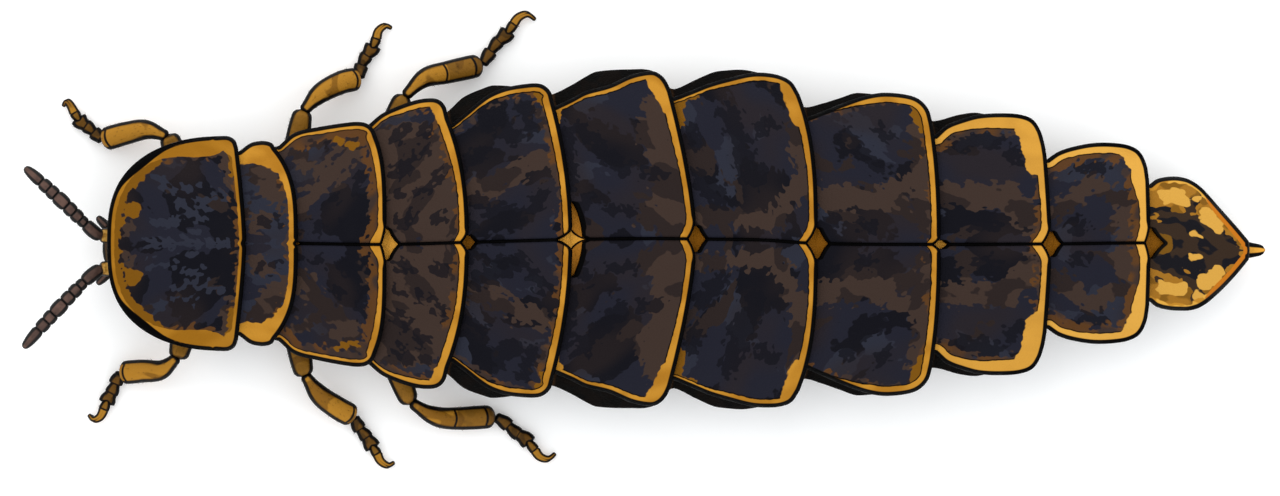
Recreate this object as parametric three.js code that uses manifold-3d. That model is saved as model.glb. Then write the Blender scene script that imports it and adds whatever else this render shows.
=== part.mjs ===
// Glow-worm: the wingless female of a firefly beetle, life size, in millimetres.
// The head points to -X, the tail to +X, up is +Z and the floor is z = 0.
// The animal's left side is -Y. The origin is on the floor, under the third ring of the abdomen.

import * as THREE from "three";
import { mergeVertices } from "three/addons/utils/BufferGeometryUtils.js";
import Module from "manifold-3d";

const wasm = await Module();
wasm.setup();

// Driving sizes
const noseX = -11.53;            // front of the upper lip
const bodyLength = 25.0;         // upper lip to tail tip
const tailX = noseX + bodyLength;
const backHeightMax = 3.35;      // floor to the top of the third ring
const seam = 0.2;                // space between neighbouring pieces
const headSeam = 0.15;           // the same between the small pieces of the head
const plateThickness = 0.34;     // armour plate of the back
const rimSlant = 0.35;           // how far a plate's lower edge lies ahead of its upper one
const rimReveal = 0.16;          // top view: from a plate's rim to the next plate's front edge
const rimStep = 0.16;            // a rim stands this much above the plate behind it
const feelerThickness = 0.5;
const legThickness = 0.5;
const hipHeight = 0.52;
const kneeHeight = 0.95;
const ankleHeight = 0.34;
const footHeight = 0.18;         // height of the middle of a foot
const headAcross = -0.15;        // the head is turned out this far to its left
const tailAcross = -0.14;        // and so is the tip of the tail

// Finishes
const finishes = {
  shield: new THREE.MeshStandardMaterial({ color: 0x24242b, roughness: 0.5, metalness: 0 }),
  plate: new THREE.MeshStandardMaterial({ color: 0x2b2a30, roughness: 0.55, metalness: 0 }),
  tail: new THREE.MeshStandardMaterial({ color: 0x8c5e26, roughness: 0.55, metalness: 0 }),
  softSkin: new THREE.MeshStandardMaterial({ color: 0x4a2f16, roughness: 0.7, metalness: 0 }),
  lightOrgan: new THREE.MeshStandardMaterial({ color: 0xe6dcae, roughness: 0.6, metalness: 0 }),
  head: new THREE.MeshStandardMaterial({ color: 0x2a1c12, roughness: 0.4, metalness: 0 }),
  eye: new THREE.MeshStandardMaterial({ color: 0x0b0a0c, roughness: 0.2, metalness: 0 }),
  feeler: new THREE.MeshStandardMaterial({ color: 0x59402f, roughness: 0.6, metalness: 0 }),
  leg: new THREE.MeshStandardMaterial({ color: 0xa9762a, roughness: 0.5, metalness: 0 }),
};

// Small tools
const lerp = THREE.MathUtils.lerp;
const vec = (x, y, z) => new THREE.Vector3(x, y, z);

// A smooth function of one number through [place, value] pairs, level beyond both ends.
function smoothThrough(pairs) {
  const places = pairs.map((pair) => pair[0]);
  const values = pairs.map((pair) => pair[1]);
  const spline = new THREE.CubicInterpolant(places, values, 1);
  return (place) => spline.evaluate(place)[0];
}

// Triangles that close one ring, as rungs between its two sides. A shared end is one point of the ring
// at which both sides start and finish.
function capTriangles(count, sharedEnds) {
  const triangles = [];
  let near = 0;
  let far = sharedEnds ? count : count - 1;
  while (far - near > 1) {
    if (near !== far % count) triangles.push([near, near + 1, far % count]);
    if (near + 1 < far - 1) triangles.push([near + 1, far - 1, far % count]);
    near += 1;
    far -= 1;
  }
  return triangles;
}

// A closed body through a row of rings with equal numbers of points, capped at both ends.
function loft(rings, sharedEnds = true) {
  const count = rings[0].length;
  const faces = [];
  for (let i = 0; i < rings.length - 1; i += 1) {
    for (let j = 0; j < count; j += 1) {
      const a = i * count + j;
      const b = i * count + ((j + 1) % count);
      faces.push(a, b, b + count, a, b + count, a + count);
    }
  }
  const last = (rings.length - 1) * count;
  capTriangles(count, sharedEnds).forEach(([a, b, c]) => {
    faces.push(a, c, b);
    faces.push(last + a, last + b, last + c);
  });
  const positions = rings.flat().flatMap((point) => point.toArray());
  const geometry = new THREE.BufferGeometry();
  geometry.setAttribute("position", new THREE.Float32BufferAttribute(positions, 3));
  geometry.setIndex(facingOut(positions, faces));
  return geometry;
}

// Turns every triangle round if the body they close is inside out.
function facingOut(positions, faces) {
  const corner = (i) => vec(positions[3 * i], positions[3 * i + 1], positions[3 * i + 2]);
  let volume = 0;
  for (let i = 0; i < faces.length; i += 3) {
    volume += corner(faces[i]).dot(corner(faces[i + 1]).cross(corner(faces[i + 2])));
  }
  return volume > 0 ? faces : faces.reverse();
}

// A limb of oval section: each station is [x, y, z, width, height]. grow makes it that much larger all
// round, and longer at both ends.
function limb(stations, sides = 8, grow = 0) {
  const centres = stations.map(([x, y, z]) => vec(x, y, z));
  const outOf = (end, next) => end.add(end.clone().sub(next).setLength(grow));
  if (grow > 0) {
    outOf(centres[0], centres[1]);
    outOf(centres.at(-1), centres.at(-2));
  }
  const rings = stations.map(([, , , width, height], i) => {
    const ahead = centres[Math.min(i + 1, centres.length - 1)];
    const behind = centres[Math.max(i - 1, 0)];
    const forward = ahead.clone().sub(behind).normalize();
    const across = vec(0, 0, 1).cross(forward).normalize();
    const upward = forward.clone().cross(across);
    return Array.from({ length: sides }, (_, j) => {
      const turn = (2 * Math.PI * (j + 0.5)) / sides;
      const sideways = across.clone().multiplyScalar((width / 2 + grow) * Math.cos(turn));
      const lift = upward.clone().multiplyScalar((height / 2 + grow) * Math.sin(turn));
      return centres[i].clone().add(sideways).add(lift);
    });
  });
  return loft(rings);
}

// An egg-shaped piece with three half sizes.
function egg([x, y, z], [halfX, halfY, halfZ], around = 10, rows = 7) {
  const geometry = new THREE.SphereGeometry(1, around, rows);
  geometry.scale(halfX, halfY, halfZ);
  geometry.translate(x, y, z);
  return geometry;
}

// A box between two opposite corners.
function block([x0, y0, z0], [x1, y1, z1]) {
  const geometry = new THREE.BoxGeometry(x1 - x0, y1 - y0, z1 - z0);
  geometry.translate((x0 + x1) / 2, (y0 + y1) / 2, (z0 + z1) / 2);
  return geometry;
}

// A geometry as a solid that can be joined and cut.
function solid(geometry) {
  const bare = geometry.clone();
  bare.deleteAttribute("normal");
  bare.deleteAttribute("uv");
  const merged = mergeVertices(bare, 1e-4);
  const vertProperties = new Float32Array(merged.attributes.position.array);
  const triVerts = new Uint32Array(merged.index.array);
  return new wasm.Manifold(new wasm.Mesh({ numProp: 3, vertProperties, triVerts }));
}

// One solid from several pieces.
function joined(geometries) {
  return geometries.map(solid).reduce((whole, piece) => whole.add(piece));
}

// The largest closed surface of a solid, as a geometry.
function shapeOf(whole) {
  const bodies = whole.decompose().sort((a, b) => b.volume() - a.volume());
  const mesh = bodies[0].getMesh();
  const geometry = new THREE.BufferGeometry();
  geometry.setAttribute("position", new THREE.BufferAttribute(mesh.vertProperties, 3));
  geometry.setIndex(new THREE.BufferAttribute(mesh.triVerts, 1));
  return geometry;
}

const glowWorm = new THREE.Group();

function add(name, geometry, finish) {
  const mesh = new THREE.Mesh(geometry, finishes[finish]);
  mesh.name = name;
  geometry.computeVertexNormals();
  glowWorm.add(mesh);
}

// Shape of the back: the ridge along the middle, the eaves along both sides, the half width between them
const ridge = smoothThrough([
  [-11.4, 2.2], [-10.4, 2.65], [-9.3, 2.85], [-8.4, 2.85], [-7.3, 2.8], [-5.4, 2.95], [-3.7, 3.15],
  [-1.4, 3.3], [1.2, backHeightMax], [3.8, 3.25], [6.4, 3.0], [8.8, 2.6], [10.9, 2.15], [12.2, 1.75],
  [tailX, 1.38],
]);
const eaves = smoothThrough([
  [-11.4, 2.1], [-9.5, 1.85], [-7.3, 1.75], [-3.7, 1.75], [1.2, 1.8], [6.4, 1.8], [8.8, 1.7],
  [10.9, 1.5], [tailX, 1.25],
]);
const outline = smoothThrough([
  [-8.53, 2.3], [-7.3, 2.53], [-6.23, 2.66], [-4.51, 3.14], [-2.36, 3.44], [0.21, 3.69], [2.15, 3.65],
  [4.94, 3.33], [7.52, 2.86], [9.77, 2.17], [11.6, 1.46], [12.67, 0.77], [tailX, 0.25],
]);

// How far the line of the back lies off the middle: only near the tail tip
const aside = (x) => tailAcross * THREE.MathUtils.smoothstep(x, 11.5, 12.5);

// Plates of the back from head to tail. rim is where the rear edge crosses the middle, sweep how far
// forward its corners lie, bend how late it turns, notch the cut at the middle that shows soft skin.
// side runs along the outer edge from front corner to rear corner, as [place, half width].
const shield = {
  name: "pronotum", rim: -8.42, sweep: 0.2, bend: 1.5, notch: 0.06, halfWidth: 2.3, front: -11.43,
  side: [[-9.1, 2.3], [-8.9, 2.31], [-8.75, 2.26], [-8.63, 2.05]],
};
const plates = [
  shield,
  { name: "mesonotum", rim: -7.32, sweep: 0.5, bend: 2.5, notch: 0.08,
    side: [[-8.59, 2.01], [-8.38, 2.15], [-8.16, 2.2], [-7.95, 2.17], [-7.82, 2.1]] },
  { name: "metanotum", rim: -5.42, sweep: 0.36, bend: 5, notch: 0.15,
    side: [[-7.77, 2.09], [-7.44, 2.37], [-6.94, 2.5], [-6.21, 2.61], [-5.9, 2.59], [-5.78, 2.47]] },
  { name: "tergite_1", rim: -3.66, sweep: 0.44, bend: 2.5, notch: 0.1,
    side: [[-5.82, 2.58], [-5.3, 2.93], [-4.85, 3.08], [-4.49, 3.09], [-4.22, 2.93], [-4.1, 2.67]] },
  { name: "tergite_2", rim: -1.44, sweep: 0.42, bend: 2, notch: 0.26,
    side: [[-4.06, 2.63], [-3.5, 3.08], [-2.9, 3.34], [-2.3, 3.4], [-2.05, 3.35], [-1.86, 3.05]] },
  { name: "tergite_3", rim: 1.22, sweep: 0.56, bend: 1.5, notch: 0.17,
    side: [[-1.83, 2.97], [-1.22, 3.28], [-0.5, 3.5], [0.1, 3.64], [0.4, 3.6], [0.67, 3.28]] },
  { name: "tergite_4", rim: 3.8, sweep: 0.41, bend: 3.2, notch: 0.21,
    side: [[0.75, 3.14], [1.46, 3.42], [2.3, 3.6], [2.84, 3.57], [3.22, 3.43], [3.39, 3.15]] },
  { name: "tergite_5", rim: 6.43, sweep: 0.16, bend: 2.5, notch: 0.12,
    side: [[3.59, 2.82], [4.06, 3.02], [4.66, 3.21], [5.4, 3.26], [5.95, 3.13], [6.27, 2.6]] },
  { name: "tergite_6", rim: 8.82, sweep: 0.1, bend: 1.2, notch: 0.19,
    side: [[6.35, 2.61], [6.79, 2.74], [7.4, 2.81], [8.2, 2.74], [8.5, 2.55], [8.72, 1.86]] },
  { name: "tergite_7", rim: 10.95, sweep: 0.02, bend: 1, notch: 0.12,
    side: [[8.84, 1.86], [9.19, 2.03], [9.64, 2.13], [10.4, 2.09], [10.74, 1.87], [10.93, 1.28]] },
  { name: "tergite_8", rim: 13.1, sweep: 0.02, bend: 1, notch: 0.02,
    side: [[11.06, 1.27], [11.5, 1.43], [12.0, 1.3], [12.41, 0.99], [12.8, 0.57], [13.1, 0.22]] },
];
const notchHalfWidth = 0.28;
const archPower = 2.2;           // the back is an arch of 1 - across ^ archPower
const domePower = 1.3;           // the shield's front is rounder, a cosine to this power
const nosePower = 2.8;           // how blunt the half oval of the shield's front edge is
const grooveShare = 0.09;        // half width of the groove along the middle, as a share of the plate's
const grooveDepth = 0.1;
const frontTuck = 0.07;          // the lower face narrows by this share towards the front

// 1 at the middle line and 0 beside the notch
const notched = (y) => Math.max(0, 1 - Math.abs(y) / notchHalfWidth);

// Half width at the share u of a side outline
function sideAt(side, u) {
  return smoothThrough(side)(lerp(side[0][0], side.at(-1)[0], u));
}

// Where a plate's rear rim lies at a place y across the back.
function rearEdge(plate, y) {
  const corner = plate.side.at(-1)[1];
  return plate.rim - plate.sweep * (Math.abs(y) / corner) ** plate.bend - plate.notch * notched(y);
}

// Front edge: the shield's is a flat-nosed half oval, any other follows the rim ahead of it.
function frontEdge(plate, u, y) {
  if (plate === shield) {
    const across = Math.min(1, Math.abs(y) / sideAt(plate.side, u));
    const setBack = 1 - Math.sqrt(1 - across ** nosePower);
    return lerp(plate.front, plate.side[0][0], setBack);
  }
  const ahead = plates[plates.indexOf(plate) - 1];
  return rearEdge(ahead, y) + rimReveal + ((ahead.notch + plate.notch) / 2) * notched(y);
}

// The upper surface: u runs from front to rear edge, y across.
function onBack(plate, u, y) {
  const x = lerp(frontEdge(plate, u, y), rearEdge(plate, y), u);
  const half = plate === shield ? shield.halfWidth : outline(x);
  const across = Math.min(1, Math.abs(y) / half);
  const plain = 1 - across ** archPower;
  const domed = Math.max(0, Math.cos((Math.PI / 2) * across)) ** domePower;
  const arch = plate === shield ? lerp(domed, plain, u * u) : plain;
  const tile = rimStep * (u - 0.5);
  const groove = grooveDepth * Math.max(0, 1 - across / grooveShare);
  return vec(x, y + aside(x), lerp(eaves(x), ridge(x), arch) + tile - groove);
}

// A point below the upper surface, moved ahead with the slant of the rims.
function underBack(plate, u, y, depth) {
  const slant = plate === shield ? rimSlant * u * u : rimSlant;
  return onBack(plate, u, y).add(vec(-slant, 0, -depth));
}

const plateRows = [0, 0.1, 0.35, 0.65, 0.88, 0.97, 1];
const halfColumns = [0, grooveShare, 0.3, 0.52, 0.72, 0.88, 0.96, 1];
const plateColumns = [...halfColumns.slice(1).reverse().map((v) => -v), ...halfColumns];

function plateShape(plate) {
  const rings = plateRows.map((u) => {
    const half = sideAt(plate.side, u);
    const upper = plateColumns.map((v) => onBack(plate, u, v * half));
    const tuck = 1 - frontTuck * (1 - u) ** 2;
    const lower = plateColumns.map((v) => underBack(plate, u, v * half * tuck, plateThickness));
    return [...upper, ...lower.reverse()];
  });
  return loft(rings, false);
}

const plateFinishes = { pronotum: "shield", tergite_8: "tail" };
plates.forEach((plate) => add(plate.name, plateShape(plate), plateFinishes[plate.name] ?? "plate"));

// Rings of the body under the plates: soft sides, the belly, and the roof that the plate lies over.
// from and to are shares of the plate's length, belly is the height of the underside, and rise how much
// higher it is at the rear. side is the half width, as for the plates.
const bodyRings = [
  { name: "prothorax", plate: 0, from: 0.44, to: 0.98, belly: 0.75, rise: 0,
    side: [[-10.1, 1.3], [-9.3, 1.6], [-8.75, 1.5]] },
  { name: "mesothorax", plate: 1, from: 0.02, to: 0.97, belly: 0.72, rise: 0,
    side: [[-8.5, 1.6], [-8.2, 1.75], [-7.9, 1.8]] },
  { name: "metathorax", plate: 2, from: 0.02, to: 0.98, belly: 0.68, rise: 0,
    side: [[-7.7, 1.85], [-6.9, 2.15], [-5.9, 2.3]] },
  { name: "abdomen_1", plate: 3, from: 0.02, to: 0.98, belly: 0.25, rise: 0,
    side: [[-5.8, 2.35], [-5, 2.86], [-4.6, 2.95], [-4.1, 2.6]] },
  { name: "abdomen_2", plate: 4, from: 0.02, to: 0.98, belly: 0, rise: 0,
    side: [[-4.05, 2.74], [-3.4, 3.24], [-2.4, 3.27], [-1.9, 3.0]] },
  { name: "abdomen_3", plate: 5, from: 0.02, to: 0.98, belly: 0, rise: 0,
    side: [[-1.83, 3.16], [-1.1, 3.52], [-0.2, 3.6], [0.65, 3.2]] },
  { name: "abdomen_4", plate: 6, from: 0.02, to: 0.98, belly: 0, rise: 0,
    side: [[0.77, 3.22], [1.6, 3.56], [2.6, 3.5], [3.4, 3.1]] },
  { name: "abdomen_5", plate: 7, from: 0.02, to: 0.98, belly: 0, rise: 0,
    side: [[3.6, 2.75], [4.5, 3.07], [5.5, 3.1], [6.25, 2.55]] },
  { name: "abdomen_6", plate: 8, from: 0.02, to: 0.97, belly: 0.06, rise: 0,
    side: [[6.34, 2.5], [7.3, 2.68], [8.2, 2.55], [8.7, 1.85]] },
  { name: "abdomen_7", plate: 9, from: 0.02, to: 0.97, belly: 0.16, rise: 0,
    side: [[8.82, 1.8], [9.6, 2.0], [10.4, 1.92], [10.9, 1.35]] },
  { name: "abdomen_8", plate: 10, from: 0.02, to: 1, belly: 0.32, rise: 0.2,
    side: [[10.95, 1.2], [11.6, 1.3], [12.4, 0.92], [13.1, 0.3]] },
];
const ringRows = [0, 0.1, 0.5, 0.9, 1];
const bellyBevel = 0.08;         // the belly plate's front and rear edges rise this much
const roofGap = 0.24;            // from a plate's lower face to the body under it
// The lower half of a section, as [share of the half width, share of the height up to the eaves]
const flankSection = [[0, 0], [0.3, 0], [0.58, 0], [0.82, 0.14], [0.96, 0.42], [1, 0.75]];

function bodyRingShape(bodyRing) {
  const plate = plates[bodyRing.plate];
  const roofDepth = plateThickness + roofGap;
  const rings = ringRows.map((row) => {
    const u = lerp(bodyRing.from, bodyRing.to, row);
    const half = sideAt(bodyRing.side, row);
    const bevel = row === 0 || row === 1 ? bellyBevel : 0;
    const belly = bodyRing.belly + bodyRing.rise * row ** 2 + bevel;
    const eavesZ = underBack(plate, u, half, roofDepth).z;
    const flank = flankSection.map(([v, level]) => {
      const point = underBack(plate, u, v * half, roofDepth);
      return point.setZ(lerp(belly, eavesZ, level));
    });
    const roof = flankSection.slice(0, -1).map(([v]) => underBack(plate, u, v * half, roofDepth));
    const opposite = ({ x, y, z }) => vec(x, 2 * aside(x + rimSlant) - y, z);
    const mirrored = (points) => points.slice(1).map(opposite);
    return [...mirrored(flank).reverse(), ...flank, ...roof.reverse(), ...mirrored(roof.reverse())];
  });
  return loft(rings);
}

// Legs. Each has its hip, knee, the bends of its shin, the joints of its foot and of its claws, as [x, y]
// seen from above. Heights follow from the sizes at the top.
const legs = [
  { name: "leg_front_right", hip: [-9.5, 0.6], knee: [-10.18, 2.33],
    shin: [[-10.63, 2.48], [-11.06, 2.38], [-11.56, 2.26]],
    foot: [[-11.75, 2.37], [-11.9, 2.5], [-12.07, 2.63]],
    claw: [[-12.2, 2.8], [-12.27, 2.94], [-12.36, 3.03], [-12.42, 2.97]] },
  { name: "leg_front_left", hip: [-9.5, -0.6], knee: [-9.93, -2.44],
    shin: [[-10.31, -2.7], [-10.74, -2.75], [-11.18, -2.79]],
    foot: [[-11.3, -2.97], [-11.39, -3.19], [-11.48, -3.36]],
    claw: [[-11.56, -3.56], [-11.65, -3.72], [-11.77, -3.77], [-11.87, -3.7]] },
  { name: "leg_middle_right", hip: [-7.7, 0.62], knee: [-7.26, 2.8],
    shin: [[-6.9, 3.22], [-6.44, 3.47], [-6.08, 3.55]],
    foot: [[-6.04, 3.81], [-5.92, 4.02], [-5.78, 4.22]],
    claw: [[-5.69, 4.4], [-5.64, 4.57], [-5.51, 4.67], [-5.4, 4.64]] },
  { name: "leg_middle_left", hip: [-7.7, -0.62], knee: [-7.22, -2.82],
    shin: [[-6.9, -3.26], [-6.51, -3.55], [-6.19, -3.73]],
    foot: [[-6.06, -3.98], [-5.93, -4.14], [-5.8, -4.34]],
    claw: [[-5.68, -4.52], [-5.59, -4.68], [-5.45, -4.77], [-5.34, -4.72]] },
  { name: "leg_hind_right", hip: [-6.1, 0.68], knee: [-5.07, 3.2],
    shin: [[-4.64, 3.56], [-4.15, 3.69], [-3.42, 3.86]],
    foot: [[-3.25, 4.1], [-3.09, 4.32], [-2.9, 4.5]],
    claw: [[-2.75, 4.71], [-2.63, 4.86], [-2.45, 4.92], [-2.3, 4.84]] },
  { name: "leg_hind_left", hip: [-6.1, -0.68], knee: [-4.93, -3.42],
    shin: [[-4.51, -3.68], [-4.12, -3.75], [-3.14, -3.73]],
    foot: [[-2.9, -3.88], [-2.68, -4.08], [-2.47, -4.22]],
    claw: [[-2.28, -4.43], [-2.16, -4.57], [-2.0, -4.62], [-1.86, -4.54]] },
];
const hipSize = [0.36, 0.48, 0.36];
const kneeSize = [0.26, 0.26, 0.26];
const thighWidths = [0.4, 0.55, 0.45];  // at the hip, halfway and at the knee
const thighBow = 0.6;            // halfway along, a thigh has risen by this share of its height
const hipReach = 0.1;            // from the middle of a hip outwards to the start of its thigh
const kneeWidth = 0.4;           // the shin's, where it starts at the knee
const toeNarrow = [0.34, 0.36];  // width and height of a foot joint where it starts
const toeWide = [0.48, 0.42];    // and near its far end
const toeShare = 0.72;           // the wide place, as a share of the joint's length
const clawWidths = [0.26, 0.22, 0.16, 0.08];
const clawHeights = [footHeight, footHeight, 0.15, 0.1];
const clawSpread = [0, 0.04, 0.07, 0.09];  // how far each claw of a pair turns aside, from root to tip
const floorBlock = solid(block([-20, -10, -2], [20, 10, 0]));

// Joints of a foot: each is narrow behind and wide in front.
function footStations(points) {
  return points.slice(0, -1).flatMap(([x, y], i) => {
    const [nextX, nextY] = points[i + 1];
    const wideX = lerp(x, nextX, toeShare);
    const wideY = lerp(y, nextY, toeShare);
    return [[x, y, footHeight, ...toeNarrow], [wideX, wideY, footHeight, ...toeWide]];
  });
}

// One claw of a pair, on the given side of the foot's line.
function clawShape(claw, side, grow) {
  const stations = claw.map(([x, y], i) => {
    return [x + clawSpread[i] * side, y, clawHeights[i], clawWidths[i], clawWidths[i]];
  });
  return limb(stations, 6, grow);
}

// grow thickens every piece, for the clear space that the body keeps round the leg
function legShape(leg, grow = 0) {
  const [hipX, hipY] = leg.hip;
  const [kneeX, kneeY] = leg.knee;
  const outward = Math.sign(hipY);
  const larger = (sizes) => sizes.map((half) => half + grow);
  const hip = egg([hipX, hipY, hipHeight], larger(hipSize), 10, 6);
  const thighPath = [
    [hipX, hipY + hipReach * outward, hipHeight],
    [(hipX + kneeX) / 2, (hipY + kneeY) / 2, lerp(hipHeight, kneeHeight, thighBow)],
    [kneeX, kneeY, kneeHeight],
  ];
  const thigh = limb(thighPath.map((point, i) => [...point, thighWidths[i], thighWidths[i]]), 8, grow);
  const knee = egg([kneeX, kneeY, kneeHeight], larger(kneeSize), 8, 6);
  const shinPath = [leg.knee, ...leg.shin];
  const shin = limb(shinPath.map(([x, y], i) => {
    const z = lerp(kneeHeight, ankleHeight, i / (shinPath.length - 1));
    const width = i === 0 ? kneeWidth : legThickness;
    return [x, y, z, width, width];
  }), 8, grow);
  const toePath = [leg.shin.at(-1), ...leg.foot, leg.claw[0]];
  const toes = [...footStations(toePath), [...leg.claw[0], footHeight, ...toeNarrow]];
  const claws = [-1, 1].map((side) => clawShape(leg.claw, side, grow));
  return joined([hip, thigh, knee, shin, limb(toes, 8, grow), ...claws]).subtract(floorBlock);
}

const legRooms = legs.map((leg) => legShape(leg, seam));
legs.forEach((leg) => add(leg.name, shapeOf(legShape(leg)), "leg"));

// Light organs: two pale panels set in the belly near the tail. z is the height of the lower face.
const lightOrgans = [
  { name: "light_organ_6", x: [6.7, 8.2], halfWidth: 1.4, z: 0.06 },
  { name: "light_organ_7", x: [9.1, 10.5], halfWidth: 1.05, z: 0.16 },
];
const organThickness = 0.34;
const organCornerPower = 0.5;    // below 1 the oval outline turns into a rounded square
const organSteps = 20;

// A flat panel with a rounded square outline.
function organShape(organ, grow = 0) {
  const [front, rear] = organ.x;
  const halfLength = (rear - front) / 2;
  const corner = (value) => Math.sign(value) * Math.abs(value) ** organCornerPower;
  const panel = new THREE.Shape();
  for (let i = 0; i < organSteps; i += 1) {
    const turn = (2 * Math.PI * i) / organSteps;
    const x = (halfLength + grow) * corner(Math.cos(turn));
    const y = (organ.halfWidth + grow) * corner(Math.sin(turn));
    panel[i === 0 ? "moveTo" : "lineTo"](x, y);
  }
  panel.closePath();
  const depth = organThickness + 2 * grow;
  const geometry = new THREE.ExtrudeGeometry(panel, { depth, bevelEnabled: false });
  geometry.translate((front + rear) / 2, 0, organ.z - grow);
  return geometry;
}

const organRooms = lightOrgans.map((organ) => solid(organShape(organ, seam)));
lightOrgans.forEach((organ) => add(organ.name, organShape(organ), "lightOrgan"));

// Head: a small capsule under the shield, with a neck, the upper lip and a pair of jaws in front
const headMiddle = [-10.85, headAcross, 1.05];
const headSize = [0.62, 0.66, 0.48];
const neck = [[-10.7, headAcross, 1.1, 0.95, 0.85], [-10.22, headAcross / 2, 1.15, 0.9, 0.8]];
const lipHalfWidth = 0.27;
const lipRoot = -11.1;
const lipHeights = [0.68, 0.88];
const eyeSize = [0.28, 0.24, 0.28];
const eyes = [-1, 1].map((side) => ({
  name: side > 0 ? "eye_right" : "eye_left",
  place: [-10.92, headAcross + 0.6 * side, 1.08],
}));
const lip = block(
  [noseX, headAcross - lipHalfWidth, lipHeights[0]],
  [lipRoot, headAcross + lipHalfWidth, lipHeights[1]],
);
const jaws = [-1, 1].map((side) => limb([
  [-11.1, headAcross + 0.2 * side, 0.62, 0.3, 0.26],
  [-11.36, headAcross + 0.22 * side, 0.58, 0.24, 0.2],
  [-11.48, headAcross + 0.06 * side, 0.58, 0.1, 0.12],
], 6));

// Feelers of eight joints, each a little wider near its far end. The lengths are shares of the feeler.
const feelerJoints = [19, 6, 8, 8.5, 13, 8, 9, 21];
const feelers = [
  { name: "antenna_right",
    points: [[-11.46, 0.17, 1.25], [-11.86, 0.34, 1.4], [-12.37, 0.86, 1.5], [-13.22, 1.63, 1.3]] },
  { name: "antenna_left",
    points: [[-11.46, -0.5, 1.25], [-11.86, -0.72, 1.4], [-12.6, -1.52, 1.5], [-13.26, -2.23, 1.3]] },
];
const feelerRoot = 0.33;         // width where a feeler starts
const feelerWaist = 0.42;        // between two joints
const feelerTip = 0.22;
const widePlace = 0.75;          // where a joint is widest, as a share of its length

function feelerShape(feeler, grow = 0) {
  const path = new THREE.CatmullRomCurve3(feeler.points.map(([x, y, z]) => vec(x, y, z)));
  const total = feelerJoints.reduce((sum, length) => sum + length);
  const stations = [];
  let start = 0;
  feelerJoints.forEach((length, i) => {
    const narrow = i === 0 ? feelerRoot : feelerWaist;
    const wide = i === feelerJoints.length - 1 ? feelerWaist : feelerThickness;
    const nearEnd = path.getPointAt(start / total).toArray();
    const farEnd = path.getPointAt((start + widePlace * length) / total).toArray();
    stations.push([...nearEnd, narrow, narrow], [...farEnd, wide, wide]);
    start += length;
  });
  stations.push([...path.getPointAt(1).toArray(), feelerTip, feelerTip]);
  return limb(stations, 8, grow);
}

// Mouth feelers, short and tapering, below the long ones
const mouthFeelers = [-1, 1].map((side) => ({
  name: side > 0 ? "palp_right" : "palp_left",
  stations: [
    [-11.3, headAcross + 0.46 * side, 0.66, 0.36, 0.34],
    [-11.47, headAcross + 0.56 * side, 0.64, 0.4, 0.36],
    [-11.66, headAcross + 0.72 * side, 0.6, 0.2, 0.2],
  ],
}));

const headRooms = joined([
  ...eyes.map((eye) => egg(eye.place, eyeSize.map((half) => half + headSeam))),
  ...feelers.map((feeler) => feelerShape(feeler, headSeam)),
  ...mouthFeelers.map((palp) => limb(palp.stations, 8, headSeam)),
]);
const headWhole = joined([egg(headMiddle, headSize, 16, 10), limb(neck, 10), lip, ...jaws]);
add("head", shapeOf(headWhole.subtract(headRooms)), "head");
eyes.forEach((eye) => add(eye.name, egg(eye.place, eyeSize, 12, 8), "eye"));
feelers.forEach((feeler) => add(feeler.name, feelerShape(feeler), "feeler"));
mouthFeelers.forEach((palp) => add(palp.name, limb(palp.stations), "feeler"));

// The body rings, cut clear of the legs, the light organs and the head. The last one ends in a cone.
const headRoom = solid(limb([
  [-10.9, headAcross, 1.15, 1.35, 1.25],
  [-10.02, headAcross / 2, 1.2, 1.3, 1.2],
], 10));
const tailCone = solid(limb([
  [12.3, tailAcross * 0.7, 0.72, 0.5, 0.5],
  [13.1, tailAcross, 0.74, 0.38, 0.38],
  [tailX, tailAcross, 0.78, 0.12, 0.12],
]));
bodyRings.forEach((bodyRing) => {
  const plain = solid(bodyRingShape(bodyRing));
  const whole = bodyRing.name === "abdomen_8" ? plain.add(tailCone) : plain;
  const cut = [...legRooms, ...organRooms, headRoom].reduce((rest, room) => rest.subtract(room), whole);
  add(bodyRing.name, shapeOf(cut), "softSkin");
});

export default glowWorm;
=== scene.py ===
# %% [markdown]
# A glow-worm: the wingless female of a firefly beetle, 25 mm long, seen from straight above.
# The measured model is the frame of this scene. Each surface that shows is made anew around it, finer than
# the measured solids, with the same names, places and sizes, so that both tell the same story.
# All shapes below are worked out in millimetres and turned into metres when a mesh is made.

# %% The frame
import math

import bpy
import numpy as np
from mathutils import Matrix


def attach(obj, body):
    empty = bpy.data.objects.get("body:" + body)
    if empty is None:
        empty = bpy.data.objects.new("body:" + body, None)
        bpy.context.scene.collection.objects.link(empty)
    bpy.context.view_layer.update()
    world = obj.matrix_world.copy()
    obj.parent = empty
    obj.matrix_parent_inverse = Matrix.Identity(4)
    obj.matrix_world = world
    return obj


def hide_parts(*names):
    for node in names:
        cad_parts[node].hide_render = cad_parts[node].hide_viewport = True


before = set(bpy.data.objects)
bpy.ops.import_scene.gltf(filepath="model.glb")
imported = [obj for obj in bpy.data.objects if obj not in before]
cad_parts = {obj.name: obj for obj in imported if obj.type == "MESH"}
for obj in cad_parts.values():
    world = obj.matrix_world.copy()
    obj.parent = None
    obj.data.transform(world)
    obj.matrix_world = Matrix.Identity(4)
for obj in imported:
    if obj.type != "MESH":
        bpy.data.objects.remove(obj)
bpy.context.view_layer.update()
MM = 0.001

# %% [markdown]
# The picture looks straight down with the head to the left. A camera close by would show the near parts
# larger than the far ones, so this one has a long lens and stands far away. That keeps the flat view of the
# drawing and still lets the other views turn round the animal. The picture's own scale sets the distance:
# the body measures 1164 pixels from lip to tail tip, and it is 25 mm long.

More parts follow.
